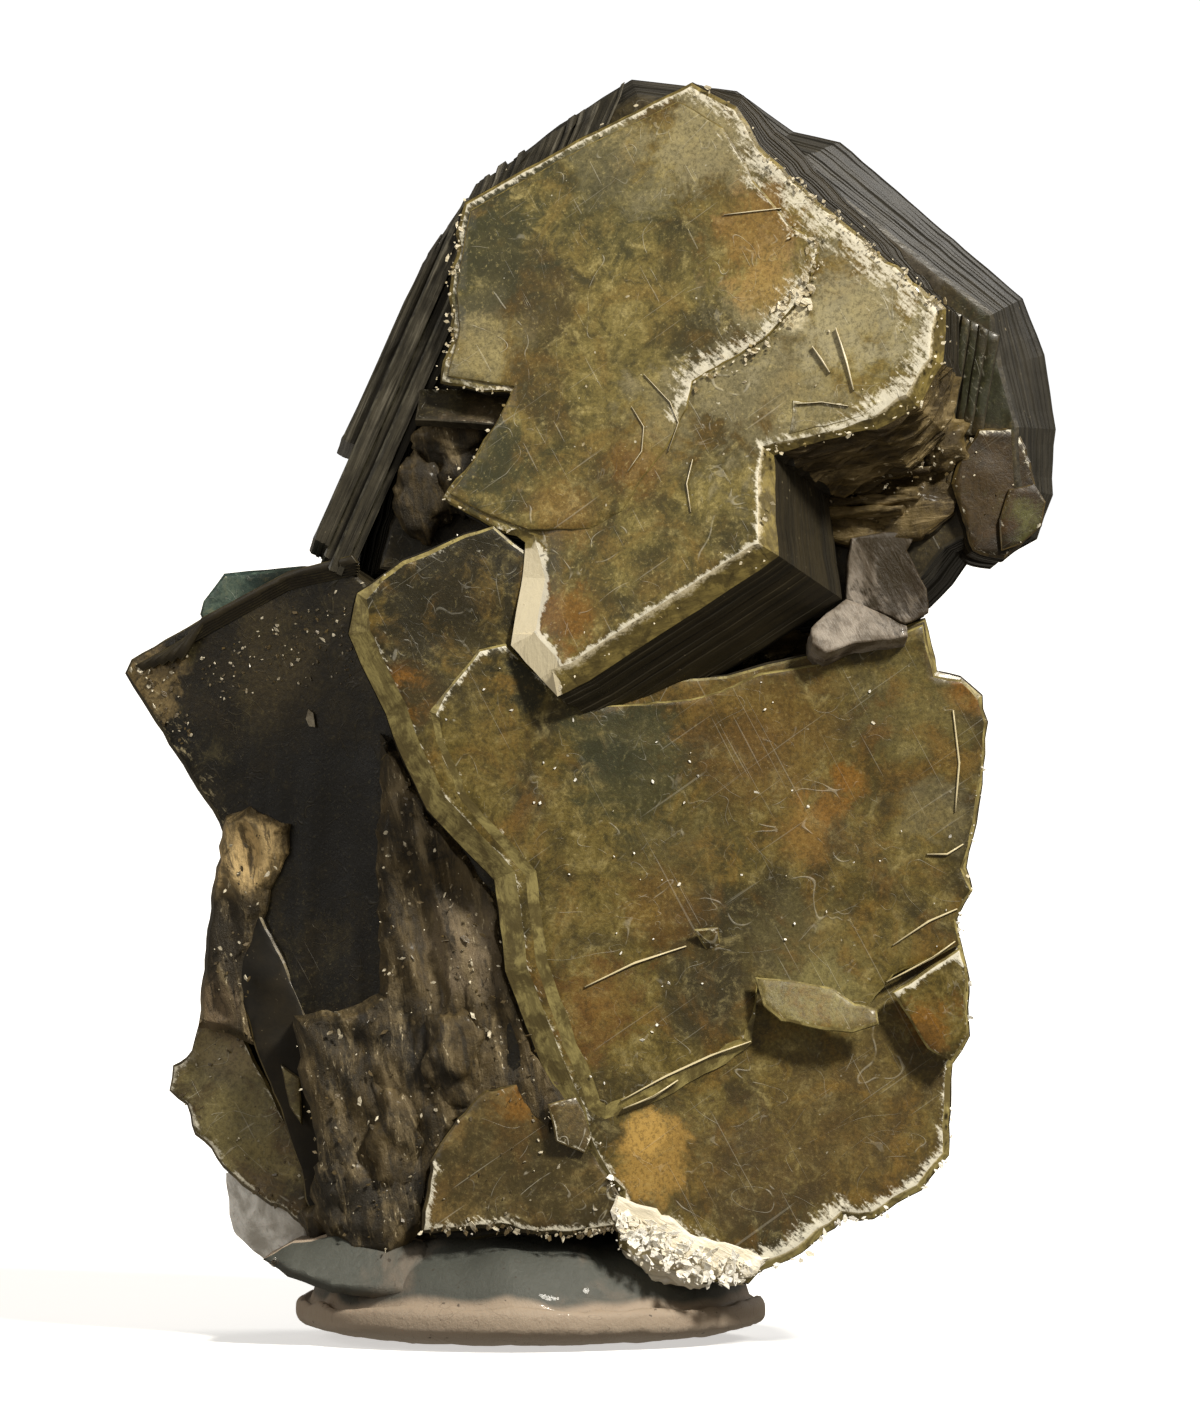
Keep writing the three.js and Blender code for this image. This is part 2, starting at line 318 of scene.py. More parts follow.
@dataclass(frozen=True)
class Face:
    """The flat of a mica sheet: clouded, stained, dusty, finely scratched and glossy."""

    name: str
    dark: Colour = linear(52, 48, 24)
    mid: Colour = linear(104, 94, 50)
    gold: Colour = linear(122, 92, 38)
    pale: Colour = linear(238, 232, 212)
    mist: Colour = linear(190, 174, 116)
    gilding: float = 0.5
    haze: float = 0.3
    dust: float = 0.35
    scratches: float = 0.4
    frost: float = 0.85
    stains: tuple[Stain, ...] = ()
    rough: float = 0.45
    coat: float = 0.12
    shift: Corner = (0.0, 0.0)

    def make(self) -> bpy.types.Material:
        """Builds the material."""
        g = Graph(self.name)
        place = g.moved(self.shift)
        clouds = g.noise(0.15, 5.0, 0.6, 0.9, place)
        patches = g.noise(0.3, 6.0, 0.65, 0.8, g.moved((self.shift[0] + 31, self.shift[1] + 7)))
        fine = g.noise(0.8, 8.0, 0.75, 0.5, place)
        grain = g.noise(5.0, 4.0, 0.8, 0.0, place)
        colour = g.mix(clouds.above(0.4, 0.58), self.dark, self.mid)
        colour = g.mix(patches.above(0.46, 0.66) * self.gilding, colour, self.gold)
        colour = g.mix(fine.above(0.54, 0.36) * 0.75, colour, self.dark)
        misty = fine.above(0.5, 0.7) * patches.above(0.64, 0.4)
        colour = g.mix(misty * self.haze, colour, self.mist)
        colour = g.stained(colour, self.stains, patches, fine)
        colour = g.mix(grain.above(0.54, 0.36) * 0.5, colour, self.dark)
        colour = g.mix(grain.above(0.55, 0.74) * self.dust, colour, self.mist)
        specks = g.noise(4.2, 1.0, 0.5, 0.0, place).above(0.74, 0.8)
        specks = specks * g.noise(0.5, 3.0).above(0.45, 0.6)
        colour = g.mix(specks * self.dust, colour, self.pale)
        marks = self.marks(g)
        colour = g.mix(marks * self.scratches, colour, self.pale)
        worn = self.worn(g, grain, fine)
        colour = g.mix(worn * self.frost, colour, self.pale)
        height = fine * 0.4 + grain * 0.2 + marks * 0.4
        return g.end(
            Base_Color=colour, Roughness=self.rough + (fine - 0.5) * 0.5, Coat_Weight=self.coat,
            Coat_Roughness=0.15, Specular_IOR_Level=0.35, Normal=g.bump(height, 0.14, 0.6),
        )

    def marks(self, g: Graph) -> Value:
        """Thin pale marks: curved hairs in patches, and a few straight scratches.

        Args:
            g: the face's graph.

        Returns:
            How much the marks show, 0 to 1.
        """
        patchy = g.noise(0.25, 2.0, 0.5, 0.0, g.moved((self.shift[1] + 5, 40)))
        broken = g.noise(1.1, 2.0, 0.6).above(0.44, 0.6)
        arcs = g.noise(0.16, 1.0, 0.4, 1.6, g.moved((self.shift[0] + 11, 3))).line(0.5, 0.0035)
        wisps = g.noise(0.5, 1.5, 0.5, 1.2, g.moved((self.shift[0] + 19, 31))).line(0.5, 0.011)
        curls = g.noise(1.0, 1.5, 0.5, 1.4, g.moved((17, self.shift[1] + 9))).line(0.5, 0.02)
        curved = arcs + wisps * patchy.above(0.46, 0.6) * 0.6 + curls * patchy.above(0.56, 0.68) * 0.1
        across = g.noise(1.0, 1.0, 0.4, 0.3, g.moved(self.shift, 35, (0.1, 1.0, 7.0))).above(0.72, 0.76)
        down = g.noise(1.0, 1.0, 0.4, 0.3, g.moved(self.shift, -62, (0.12, 1.0, 8.0))).above(0.73, 0.77)
        return (curved * broken * 0.6 + (across + down) * 0.35).math("MINIMUM", 1.0)

    def worn(self, g: Graph, grain: Value, fine: Value) -> Value:
        """The pale frosting at a rim, from the wear that the mesh carries.

        Args:
            g: the face's graph.
            grain: noise that speckles it.
            fine: noise that breaks it up.

        Returns:
            How much the frosting shows, 0 to 1.
        """
        wear = g.attribute("wear")
        streaks = g.noise(1.0, 5.0, 0.65, 0.4, g.moved((3, 1), -42, (0.8, 1.0, 4.0)))
        rubbed = (grain - 0.5) * 1.1 + (fine - 0.5) * 0.9 + (streaks - 0.5) * 1.8
        speckle = (wear + rubbed).above(0.55, 0.95)
        return (speckle + wear.above(1.1, 1.4)).math("MINIMUM", 1.0) * wear.above(0.0, 0.12)


@dataclass(frozen=True)
class Rim:
    """The bevelled rim of a mica book: lighter than its side, and pale along the front."""

    name: str
    body: Colour = linear(122, 110, 62)
    deep: Colour = linear(74, 66, 36)
    pale: Colour = linear(222, 208, 168)

    def make(self) -> bpy.types.Material:
        """Builds the material."""
        g = Graph(self.name)
        fine = g.noise(0.9, 7.0, 0.7, 0.4)
        grain = g.noise(4.5, 4.0, 0.8)
        lines = g.noise(1.0, 4.0, 0.7, 0.0, g.moved((5, 9), 0, (0.6, 5.0, 0.6)))
        colour = g.mix(fine.above(0.4, 0.58), self.deep, self.body)
        colour = g.mix(lines.above(0.55, 0.4) * 0.6, colour, self.deep)
        wear = g.attribute("wear")
        worn = (wear + (grain - 0.5) * 0.8 + (fine - 0.5) * 0.6).above(0.72, 1.05)
        colour = g.mix(worn * 0.9, colour, self.pale)
        return g.end(
            Base_Color=colour, Roughness=0.4 + (grain - 0.5) * 0.3, Coat_Weight=0.2,
            Coat_Roughness=0.15, Specular_IOR_Level=0.4,
            Normal=g.bump(lines * 0.6 + fine * 0.4, 0.12, 0.6),
        )


@dataclass(frozen=True)
class Edges:
    """The side of a mica book: the dark, glossy, finely lined edges of its sheets, with painted sheen
    along some of the lines.
    """

    name: str
    dark: Colour = linear(24, 20, 11)
    mid: Colour = linear(54, 46, 27)
    sheen: Colour = linear(96, 86, 66)
    pale: Colour = linear(214, 196, 156)
    lines: float = 2.2
    painted_sheen_share: float = 0.5
    rough: float = 0.42
    coat: float = 0.12

    def make(self) -> bpy.types.Material:
        """Builds the material."""
        g = Graph(self.name)
        depth = g.attribute("depth")
        round_book = g.along(0) * 0.12 + g.along(1) * 0.03
        parts = {0: depth * self.lines, 1: round_book, 2: g.along(2) * 0.12}
        along = g.node("ShaderNodeCombineXYZ", None, parts).outputs[0]
        lines = g.noise(1.0, 7.0, 0.75, 0.0, along)
        bands = g.noise(0.3, 3.0, 0.5, 0.0, along)
        dirt = g.noise(0.5, 6.0, 0.65, 0.5)
        colour = g.mix(lines.above(0.62, 0.35), self.mid, self.dark)
        # Painted sheen: paler streaks along some of the lines stand for the glossy edges' reflection.
        painted_shine = lines.above(0.5, 0.72) * bands.above(0.4, 0.62)
        colour = g.mix(painted_shine * self.painted_sheen_share, colour, self.sheen)
        colour = g.mix(dirt.above(0.58, 0.35) * 0.5, colour, self.dark)
        specks = g.noise(4.0, 3.0, 0.6).above(0.66, 0.76) * dirt.above(0.5, 0.7)
        colour = g.mix(specks * 0.5, colour, self.pale)
        return g.end(
            Base_Color=colour, Roughness=self.rough + dirt * 0.25, Coat_Weight=self.coat,
            Coat_Roughness=0.2, Specular_IOR_Level=0.3, Normal=g.bump(lines, 0.1, 0.7),
        )


@dataclass(frozen=True)
class Shards:
    """Loose flakes of broken mica: pale, thin and shiny, or brown where they are dirty."""

    name: str
    pale: Colour = linear(236, 226, 200)
    brown: Colour = linear(120, 100, 62)
    pallor: float = 0.78
    rough: float = 0.25

    def make(self) -> bpy.types.Material:
        """Builds the material."""
        g = Graph(self.name)
        tone = g.attribute("tone")
        cloud = g.noise(0.9, 5.0, 0.65)
        share = (tone * 0.7 + cloud * 0.6).above(1.1 - self.pallor, 1.35 - self.pallor)
        colour = g.mix(share, self.brown, self.pale)
        colour = g.mix(g.noise(4.0, 3.0).above(0.6, 0.4) * 0.3, colour, self.brown)
        streaks = g.noise(1.0, 5.0, 0.65, 0.4, g.moved((7, 7), -28, (0.5, 2.0, 4.0)))
        colour = g.mix(streaks.above(0.52, 0.38) * 0.5, colour, self.brown)
        return g.end(
            Base_Color=colour, Roughness=self.rough + cloud * 0.3, Coat_Weight=0.3,
            Coat_Roughness=0.15, Normal=g.bump(streaks, 0.15, 0.7),
        )


@dataclass(frozen=True)
class Broken:
    """A rough fracture through mica: brown, with painted shade in the hollows of its bump and painted
    glints.
    """

    name: str
    dark: Colour = linear(34, 28, 15)
    mid: Colour = linear(84, 70, 42)
    light: Colour = linear(136, 120, 88)
    painted_glints: float = 0.7
    turn: float = 12.0
    stains: tuple[Stain, ...] = ()

    def make(self) -> bpy.types.Material:
        """Builds the material."""
        g = Graph(self.name)
        coarse = g.noise(0.3, 6.0, 0.65, 0.8)
        streaks = g.noise(1.0, 7.0, 0.7, 0.5, g.moved((3, 3), self.turn, (1.3, 0.5, 0.3)))
        grain = g.noise(2.6, 8.0, 0.75, 0.3)
        colour = g.mix(coarse.above(0.36, 0.62), self.dark, self.mid)
        colour = g.stained(colour, self.stains, coarse, streaks)
        # Lighter on the high streaks; darker where the streaks and the grain that raise the bump are
        # low, which is painted shade in its hollows.
        colour = g.mix(streaks.above(0.5, 0.66) * 0.75, colour, self.light)
        colour = g.mix(streaks.above(0.5, 0.38) * 0.8, colour, self.dark)
        colour = g.mix(grain.above(0.46, 0.3) * 0.6, colour, self.dark)
        # Painted glints: bright specks on the streaks.
        sparks = g.noise(1.0, 3.0, 0.6, 0.0, g.moved((9, 2), self.turn, (5.0, 3.0, 1.8)))
        painted_glints = sparks.above(0.62, 0.7) * streaks.above(0.48, 0.6)
        colour = g.mix(painted_glints * self.painted_glints, colour, linear(230, 214, 178))
        return g.end(
            Base_Color=colour, Roughness=0.55 - painted_glints * 0.3, Coat_Weight=0.1, Coat_Roughness=0.2,
            Specular_IOR_Level=0.35, Normal=g.bump(grain * 0.5 + streaks * 0.5, 0.3, 0.8),
        )


@dataclass(frozen=True)
class Grain:
    """A grain of a pale mineral with flat faces."""

    name: str
    light: Colour
    shade: Colour
    dirt: Colour = linear(96, 82, 64)
    rough: float = 0.45
    stains: tuple[Stain, ...] = ()

    def make(self) -> bpy.types.Material:
        """Builds the material."""
        g = Graph(self.name)
        cloud = g.noise(0.5, 5.0, 0.6, 0.5)
        streaks = g.noise(1.0, 5.0, 0.65, 0.3, g.moved((3, 5), 30, (3.0, 1.5, 0.6)))
        grain = g.noise(2.6, 6.0, 0.7)
        colour = g.mix(cloud.above(0.4, 0.62), self.light, self.shade)
        colour = g.mix(streaks.above(0.52, 0.7) * 0.6, colour, self.shade)
        colour = g.mix(grain.above(0.56, 0.74) * 0.5, colour, self.dirt)
        colour = g.stained(colour, self.stains, cloud, streaks)
        return g.end(
            Base_Color=colour, Roughness=self.rough + (grain - 0.5) * 0.4, Coat_Weight=0.05,
            Specular_IOR_Level=0.3, Subsurface_Weight=0.15, Subsurface_Radius=(0.0015, 0.0012, 0.001),
            Subsurface_Scale=0.5, Normal=g.bump(streaks * 0.6 + grain * 0.4, 0.15, 0.7),
        )


@dataclass(frozen=True)
class Putty:
    """Pale mounting putty with dust pressed into it, and painted shade in slate grey on the wedge that
    the cluster shades.
    """

    name: str = "putty"
    light: Colour = linear(158, 142, 124)
    shaded_wedge: Colour = linear(74, 76, 70)
    speck: Colour = linear(58, 48, 38)

    def make(self) -> bpy.types.Material:
        """Builds the material."""
        g = Graph(self.name)
        cloud = g.noise(0.22, 5.0, 0.6, 0.6)
        grain = g.noise(2.2, 7.0, 0.7)
        # The wear attribute marks the wedge on top, whose slate grey is painted shade, the shadow that
        # the cluster casts on it.
        painted_shade = (g.attribute("wear") + (cloud - 0.5) * 0.5).above(0.3, 0.7)
        colour = g.mix(painted_shade, self.light, self.shaded_wedge)
        colour = g.mix(cloud.above(0.52, 0.72) * 0.35, colour, linear(150, 130, 112))
        colour = g.mix(g.along(2).above(1.5, 0.2) * 0.6, colour, linear(204, 192, 180))
        specks = g.noise(2.4, 2.0, 0.5).above(0.7, 0.76)
        colour = g.mix(specks * 0.8, colour, self.speck)
        fibres = g.noise(0.4, 1.0, 0.5, 1.6).line(0.5, 0.004)
        colour = g.mix(fibres * 0.4, colour, self.speck)
        return g.end(
            Base_Color=colour, Roughness=0.62 + (grain - 0.5) * 0.3, Coat_Weight=0.05,
            Subsurface_Weight=0.1, Subsurface_Radius=(0.002, 0.0014, 0.001), Subsurface_Scale=0.5,
            Normal=g.bump(grain * 0.7 + cloud * 0.3, 0.2, 0.6),
        )


# ---- making meshes ----


class Skin(IntEnum):
    """Which finish of a piece a face wears."""

    FACE = 0
    SIDE = 1
    RIM = 2
    SHARD = 3
    BROKEN = 4


def clad(skin: Skin) -> dict[str, Skin]:
    """A stack's settings for one finish all round."""
    return {"face": skin, "side": skin, "rim": skin}


@dataclass(frozen=True)
class Plane:
    """A sheet's plane: y at a point, and how y changes with x and z."""

    y: float
    lean: Corner = (0.0, 0.0)
    at: Corner = (0.0, 0.0)

    def lift(self, corner: Corner) -> Vector:
        """The point of the plane at x and z."""
        along = self.lean[0] * (corner[0] - self.at[0]) + self.lean[1] * (corner[1] - self.at[1])
        return Vector((corner[0], self.y + along, corner[1]))

    def loop(self, outline: Outline) -> list[Vector]:
        """An outline laid on the plane."""
        return [self.lift(corner) for corner in outline]

    def front(self, forward: float) -> "Plane":
        """The plane a step nearer the display side."""
        return Plane(self.y - forward, self.lean, self.at)

    @property
    def normal(self) -> Vector:
        """The direction that the sheet's front faces."""
        return Vector((self.lean[0], -1.0, self.lean[1])).normalized()


@dataclass(frozen=True)
class Wear:
    """How an outline is worn and bevelled from one of its corners to another.

    It is ragged by so many mm, pale by a share that fades out over a width, with so many loose
    shards to the mm. Its bevel is so wide and so deep, pale by the share outer on its far side, and
    broken sheets stand out below it by so many mm.
    """

    first: int
    last: int
    ragged: float = 0.04
    pale: float = 0.4
    width: float = 0.3
    shards: float = 0.0
    bevel: float = 0.12
    deep: float = 0.12
    outer: float = 0.0
    broken: float = 0.0


def shifted(outline: Outline, dx: float, dz: float, grow: float = 1.0) -> list[Corner]:
    """An outline moved, and grown from its middle.

    Args:
        outline: its corners.
        dx: how far it moves along x.
        dz: how far it moves along z.
        grow: its new size over its old.

    Returns:
        The new corners.
    """
    mx = sum(c[0] for c in outline) / len(outline)
    mz = sum(c[1] for c in outline) / len(outline)
    return [(mx + (x - mx) * grow + dx, mz + (z - mz) * grow + dz) for x, z in outline]


def between(a: Outline, b: Outline, share: float) -> list[Corner]:
    """The outline at a share of the way from one to another."""
    return [(p[0] + (q[0] - p[0]) * share, p[1] + (q[1] - p[1]) * share) for p, q in zip(a, b)]


def from_segment(point: Vector, a: Vector, b: Vector) -> float:
    """How far a point is from a segment.

    Args:
        point: the point.
        a: one end.
        b: the other end.

    Returns:
        The distance.
    """
    run = b - a
    share = max(0.0, min(1.0, (point - a).dot(run) / max(run.length_squared, 1e-9)))
    return (point - a - run * share).length


@dataclass
class Stations:
    """Points round a book's outline, placed on every one of its corner loops."""

    loops: list[list[Vector]]
    wear: Sequence[Wear]
    step: float
    plain: Wear = Wear(0, 0)
    places: list[list[Vector]] = field(default_factory=list)
    outward: list[list[Vector]] = field(default_factory=list)
    edges: list[int] = field(default_factory=list)
    bevels: list[float] = field(default_factory=list)
    starts: list[float] = field(default_factory=list)

    def __post_init__(self) -> None:
        """Divides the outline's edges."""
        front = self.loops[0]
        count = len(front)
        shares: list[tuple[int, float]] = []
        for i in range(count):
            pieces = max(1, round((front[(i + 1) % count] - front[i]).length / self.step))
            shares += [(i, j / pieces) for j in range(pieces)]
        self.edges = [i for i, _ in shares]
        axis = sum(self.loops[-1], Vector()) / count - sum(front, Vector()) / count
        for loop in self.loops:
            row = [loop[i].lerp(loop[(i + 1) % count], share) for i, share in shares]
            self.places.append(row)
            self.outward.append(self.directions(row, axis.normalized()))
        worn = [self.worn(edge) for edge in self.edges]
        self.bevels = self.eased([w.bevel for w in worn])
        self.starts = [min(0.5, w / axis.length) for w in self.eased([w.deep for w in worn])]

    @staticmethod
    def eased(values: list[float]) -> list[float]:
        """Values round a ring, averaged with their neighbours."""
        count = len(values)
        return [sum(values[(i + k) % count] for k in (-2, -1, 0, 1, 2)) / 5 for i in range(count)]

    @staticmethod
    def directions(row: list[Vector], axis: Vector) -> list[Vector]:
        """The outward direction at each point of a ring.

        Args:
            row: the ring's points.
            axis: the way from the front to the back.

        Returns:
            The directions.
        """
        middle = sum(row, Vector()) / len(row)
        out = []
        for i, point in enumerate(row):
            run = row[(i + 1) % len(row)] - row[i - 1]
            out.append(run.cross(axis).normalized())
        inward = sum((p - middle).dot(o) for p, o in zip(row, out)) < 0
        return [-o for o in out] if inward else out

    def worn(self, edge: int) -> Wear:
        """The wear on an edge of the outline.

        Args:
            edge: the edge's number.

        Returns:
            The first wear that covers it, or the plain one.
        """
        for wear in self.wear:
            if wear.first <= edge < wear.last:
                return wear
        return self.plain

    def at(self, index: int, depth: float, offset: float) -> Vector:
        """A point of the book's side, whose depth is 0 where the bevel ends."""
        depth = self.starts[index] + (1.0 - self.starts[index]) * depth
        return self.spot(index, depth, offset)

    def spot(self, index: int, depth: float, offset: float) -> Vector:
        """A point at a depth of the whole book.

        Args:
            index: which station.
            depth: 0 at the front loop, 1 at the back loop.
            offset: how far it stands out.

        Returns:
            The point.
        """
        spans = len(self.loops) - 1
        span = min(spans - 1, int(depth * spans))
        share = depth * spans - span
        place = self.places[span][index].lerp(self.places[span + 1][index], share)
        out = self.outward[span][index].lerp(self.outward[span + 1][index], share)
        chip = noise.noise(self.places[0][index] * 0.9) + 0.5 * noise.noise(self.places[0][index] * 2.7)
        return place + out * (offset + chip * self.worn(self.edges[index]).ragged)


@dataclass
class Stack:
    """How a stack of sheets is cut.

    It has so many sheets, with a station every step mm round it. Their edges wander by terrace mm,
    its face by swell mm on a grid of cells, and a relief may be added to the face.
    """

    sheets: int = 24
    step: float = 0.8
    terrace: float = 0.06
    swell: float = 0.05
    cell: float = 0.8
    relief: Callable[[Vector], float] | None = None
    face: Skin = Skin.FACE
    side: Skin = Skin.SIDE
    rim: Skin = Skin.RIM
    wear: Sequence[Wear] = ()
    plain: Wear = Wear(0, 0)


UNEVEN = 0.35  # how much the sheets of a stack differ in thickness
CALM = 0.9  # mm from a face's rim over which its waves start


class Mould:
    """The mesh of one piece while it is being made, in millimetres."""

    def __init__(self, name: str, seed: int) -> None:
        """Starts an empty mesh.

        Args:
            name: the piece's name.
            seed: seed of its random draws.
        """
        self.name = name
        self.bm = bmesh.new()
        self.draw = random.Random(seed)
        self.station = self.bm.verts.layers.int.new("station")
        self.depth = self.bm.verts.layers.float.new("depth")
        self.wear = self.bm.verts.layers.float.new("wear")
        self.loose: list[tuple[Matrix, float]] = []

    def stack(self, loops: list[list[Vector]], cut: Stack) -> None:
        """Adds a closed stack of sheets lofted through corner loops.

        Args:
            loops: the corners, front to back.
            cut: how the stack is cut.
        """
        stations = Stations(loops, cut.wear, cut.step, cut.plain)
        count = len(stations.edges)
        verts = [self.bm.verts.new(stations.spot(i, 0.0, -stations.bevels[i])) for i in range(count)]
        for i, vert in enumerate(verts):
            vert[self.station] = i
            vert[self.wear] = stations.worn(stations.edges[i]).pale
        cap = self.bm.faces.new(verts)
        edges = list(cap.edges)
        thickness = (sum(loops[-1], Vector()) - sum(loops[0], Vector())).length / len(loops[0])
        edges = self.course(stations, edges, (0.0, 0.0, 0.0), thickness, cut)
        for face in {f for e in edges for f in e.link_faces}:
            face.material_index = cut.rim
        for ring in self.courses(cut):
            edges = self.course(stations, edges, ring, thickness, cut)
        back = bmesh.ops.edgeloop_fill(self.bm, edges=edges)["faces"]
        for face in back:
            face.material_index = cut.face
        self.dress_cap(cap, stations, cut)

    def courses(self, cut: Stack) -> list[Triple]:
        """The rings that the sheets' edges stand on.

        Args:
            cut: how the stack is cut.

        Returns:
            Two rings for each sheet: depth from 0 to 1, offset outwards, and phase of its waves.
        """
        marks = sorted(self.draw.random() for _ in range(cut.sheets - 1))
        even = 1.0 - UNEVEN
        marks = [(m * UNEVEN + (i + 1) / cut.sheets * even) for i, m in enumerate(marks)] + [1.0]
        courses = []
        offset, top = 0.0, 0.0
        for i, mark in enumerate(marks):
            if i:
                courses.append((top, offset, float(i)))
            courses.append((mark, offset, float(i)))
            top = mark
            offset = cut.terrace * self.draw.uniform(-1.0, 1.0)
        return courses

    def course(
        self, stations: Stations, edges: list[bmesh.types.BMEdge], ring: Triple, thickness: float,
        cut: Stack,
    ) -> list[bmesh.types.BMEdge]:
        """Grows the stack's side by one ring.

        Args:
            stations: points round the outline.
            edges: the ring that grows.
            ring: the new ring's depth, offset and phase.
            thickness: the stack's thickness, in mm.
            cut: how the stack is cut.

        Returns:
            The new ring's edges.
        """
        depth, offset, phase = ring
        grown = bmesh.ops.extrude_edge_only(self.bm, edges=edges)["geom"]
        verts = {g for g in grown if isinstance(g, bmesh.types.BMVert)}
        for vert in verts:
            index = vert[self.station]
            place = stations.places[0][index]
            worn = stations.worn(stations.edges[index])
            wave = noise.noise(Vector((place.x * 0.35, phase * 3.7, place.z * 0.35))) * cut.terrace
            wave += noise.noise(Vector((place.x * 0.7, phase * 1.3 + 7.0, place.z * 0.7))) * worn.broken
            vert.co = stations.at(index, depth, offset + wave * (depth > 0))
            vert[self.depth] = depth * thickness
            vert[self.wear] = 0.0 if depth else worn.outer
        for face in (g for g in grown if isinstance(g, bmesh.types.BMFace)):
            broken = all(stations.worn(stations.edges[v[self.station]]).broken for v in face.verts)
            face.material_index = Skin.BROKEN if broken else cut.side
        return [
            g for g in grown
            if isinstance(g, bmesh.types.BMEdge) and g.verts[0] in verts and g.verts[1] in verts
        ]

    def dress_cap(self, cap: bmesh.types.BMFace, stations: Stations, cut: Stack) -> None:
        """Grids a stack's front face, waves it, and marks its worn rim.

        Args:
            cap: the front face.
            stations: points round its outline.
            cut: how the stack is cut.
        """
        rim = set(cap.verts)
        outline = [v.co.copy() for v in cap.verts]
        low = Vector(min(v.co[k] for v in rim) for k in range(3))
        high = Vector(max(v.co[k] for v in rim) for k in range(3))
        span = high - low
        cap.normal_update()
        normal = cap.normal.copy()
        geom: list[Any] = [cap, *cap.edges, *cap.verts]
        flat = max(range(3), key=lambda k: abs(normal[k]))
        for k in (k for k in range(3) if k != flat):
            cuts = int(span[k] / cut.cell)
            for i in range(1, cuts + 1):
                centre = low.copy()
                centre[k] = low[k] + span[k] * i / (cuts + 1)
                across = Vector((k == 0, k == 1, k == 2))
                geom = bmesh.ops.bisect_plane(
                    self.bm, geom=geom, dist=1e-5, plane_co=centre, plane_no=across
                )["geom"]
        faces = [g for g in geom if isinstance(g, bmesh.types.BMFace)]
        for face in faces:
            face.material_index = cut.face
            face.smooth = True
        inner = {
            v for f in faces for v in f.verts if all(x.material_index == cut.face for x in v.link_faces)
        }
        worn = [stations.worn(e) for e in stations.edges]
        outside = 1.0 if normal.dot(stations.loops[-1][0] - stations.loops[0][0]) < 0 else -1.0
        for vert in inner - rim:
            near, wear = 9.0, 0.0
            for i, start in enumerate(outline):
                away = from_segment(vert.co, start, outline[(i + 1) % len(outline)])
                near = min(near, away)
                if worn[i].pale:
                    wear = max(wear, worn[i].pale * (1.0 - away / worn[i].width))
            vert[self.wear] = wear
            rise = noise.fractal(vert.co * 0.22, 0.9, 2.0, 3) * cut.swell
            if cut.relief:
                rise += cut.relief(vert.co)
            vert.co += normal * (outside * rise * min(1.0, near / CALM))

    def sheet(self, outline: Outline, plane: Plane, thick: float, cut: Stack | None = None) -> None:
        """Adds a raised sheet, so many mm thick, whose top is on a plane."""
        back = [p - plane.normal * thick for p in plane.loop(outline)]
        self.stack([plane.loop(outline), back], cut or Stack(2, 0.6, 0.04, 0.02, 1.2))

    def leaf(
        self, outline: Outline, plane: Plane, thick: float, wear: Sequence[Wear] = (), pale: float = 0.5
    ) -> None:
        """Adds a single thin sheet with a narrow bevel.

        Args:
            outline: its corners.
            plane: the plane of its top.
            thick: its thickness.
            wear: its worn edges.
            pale: how pale its other edges are.
        """
        plain = Wear(0, 0, 0.05, pale, 0.2, 0.0, 0.07, 0.05)
        cut = Stack(2, 0.45, 0.03, 0.04, 0.5, side=Skin.RIM, wear=wear, plain=plain)
        self.sheet(outline, plane, thick, cut)

    def sliver(self, points: Outline, plane: Plane, width: float, thick: float = 0.12) -> None:
        """Adds a thin raised line, widest in its middle.

        Args:
            points: the line's points.
            plane: the plane it stands on.
            width: its width.
            thick: how far it stands up.
        """
        left, right = [], []
        for i, (x, z) in enumerate(points):
            ahead = points[min(i + 1, len(points) - 1)]
            behind = points[max(i - 1, 0)]
            run = Vector((ahead[0] - behind[0], ahead[1] - behind[1])).normalized()
            half = width * (0.12 + 0.38 * math.sin(math.pi * (i + 0.4) / (len(points) - 0.2)))
            left.append((x - run.y * half, z + run.x * half))
            right.append((x + run.y * half, z - run.x * half))
        loop = plane.front(thick).loop(left + right[::-1])
        back = [p - plane.normal * (thick + 0.15) for p in loop]
        plain = Wear(0, 0, 0.0, 3.0, 5.0, 0.0, 0.0, 0.02)
        self.stack([loop, back], Stack(1, 0.7, 0.0, 0.0, 9.0, plain=plain, **clad(Skin.RIM)))

    def shard(self, at: Vector, normal: Vector, size: float, stretch: float) -> None:
        """Adds one loose flake.

        Args:
            at: its middle.
            normal: the way its flat faces.
            size: its radius.
            stretch: its length over its width.
        """
        turn = Matrix.Rotation(self.draw.uniform(0, math.tau), 4, "Z")
        lay = normal.to_track_quat("Z", "Y").to_matrix().to_4x4()
        scale = Matrix.Diagonal((stretch, 1.0, 1.0, 1.0))
        self.loose.append((Matrix.Translation(at) @ lay @ turn @ scale, size))

    def flakes(self) -> bmesh.types.BMesh:
        """Makes the loose flakes, a batch at a time."""
        whole = bmesh.new()
        whole.verts.layers.float.new("tone")
        carrier = bpy.data.meshes.new("carrier")
        for start in range(0, len(self.loose), 48):
            batch = bmesh.new()
            tone = batch.verts.layers.float.new("tone")
            for matrix, size in self.loose[start:start + 48]:
                corners = self.draw.choice((4, 5, 5, 6))
                verts = bmesh.ops.create_circle(
                    batch, cap_ends=True, segments=corners, radius=size, matrix=matrix
                )["verts"]
                shade = self.draw.random()
                for vert in verts:
                    vert.co = matrix.translation.lerp(vert.co, self.draw.uniform(0.55, 1.25))
                    vert[tone] = shade
            bmesh.ops.solidify(batch, geom=batch.faces[:], thickness=self.draw.uniform(0.02, 0.05))
            batch.to_mesh(carrier)
            batch.free()
            whole.from_mesh(carrier)
        bpy.data.meshes.remove(carrier)
        return whole

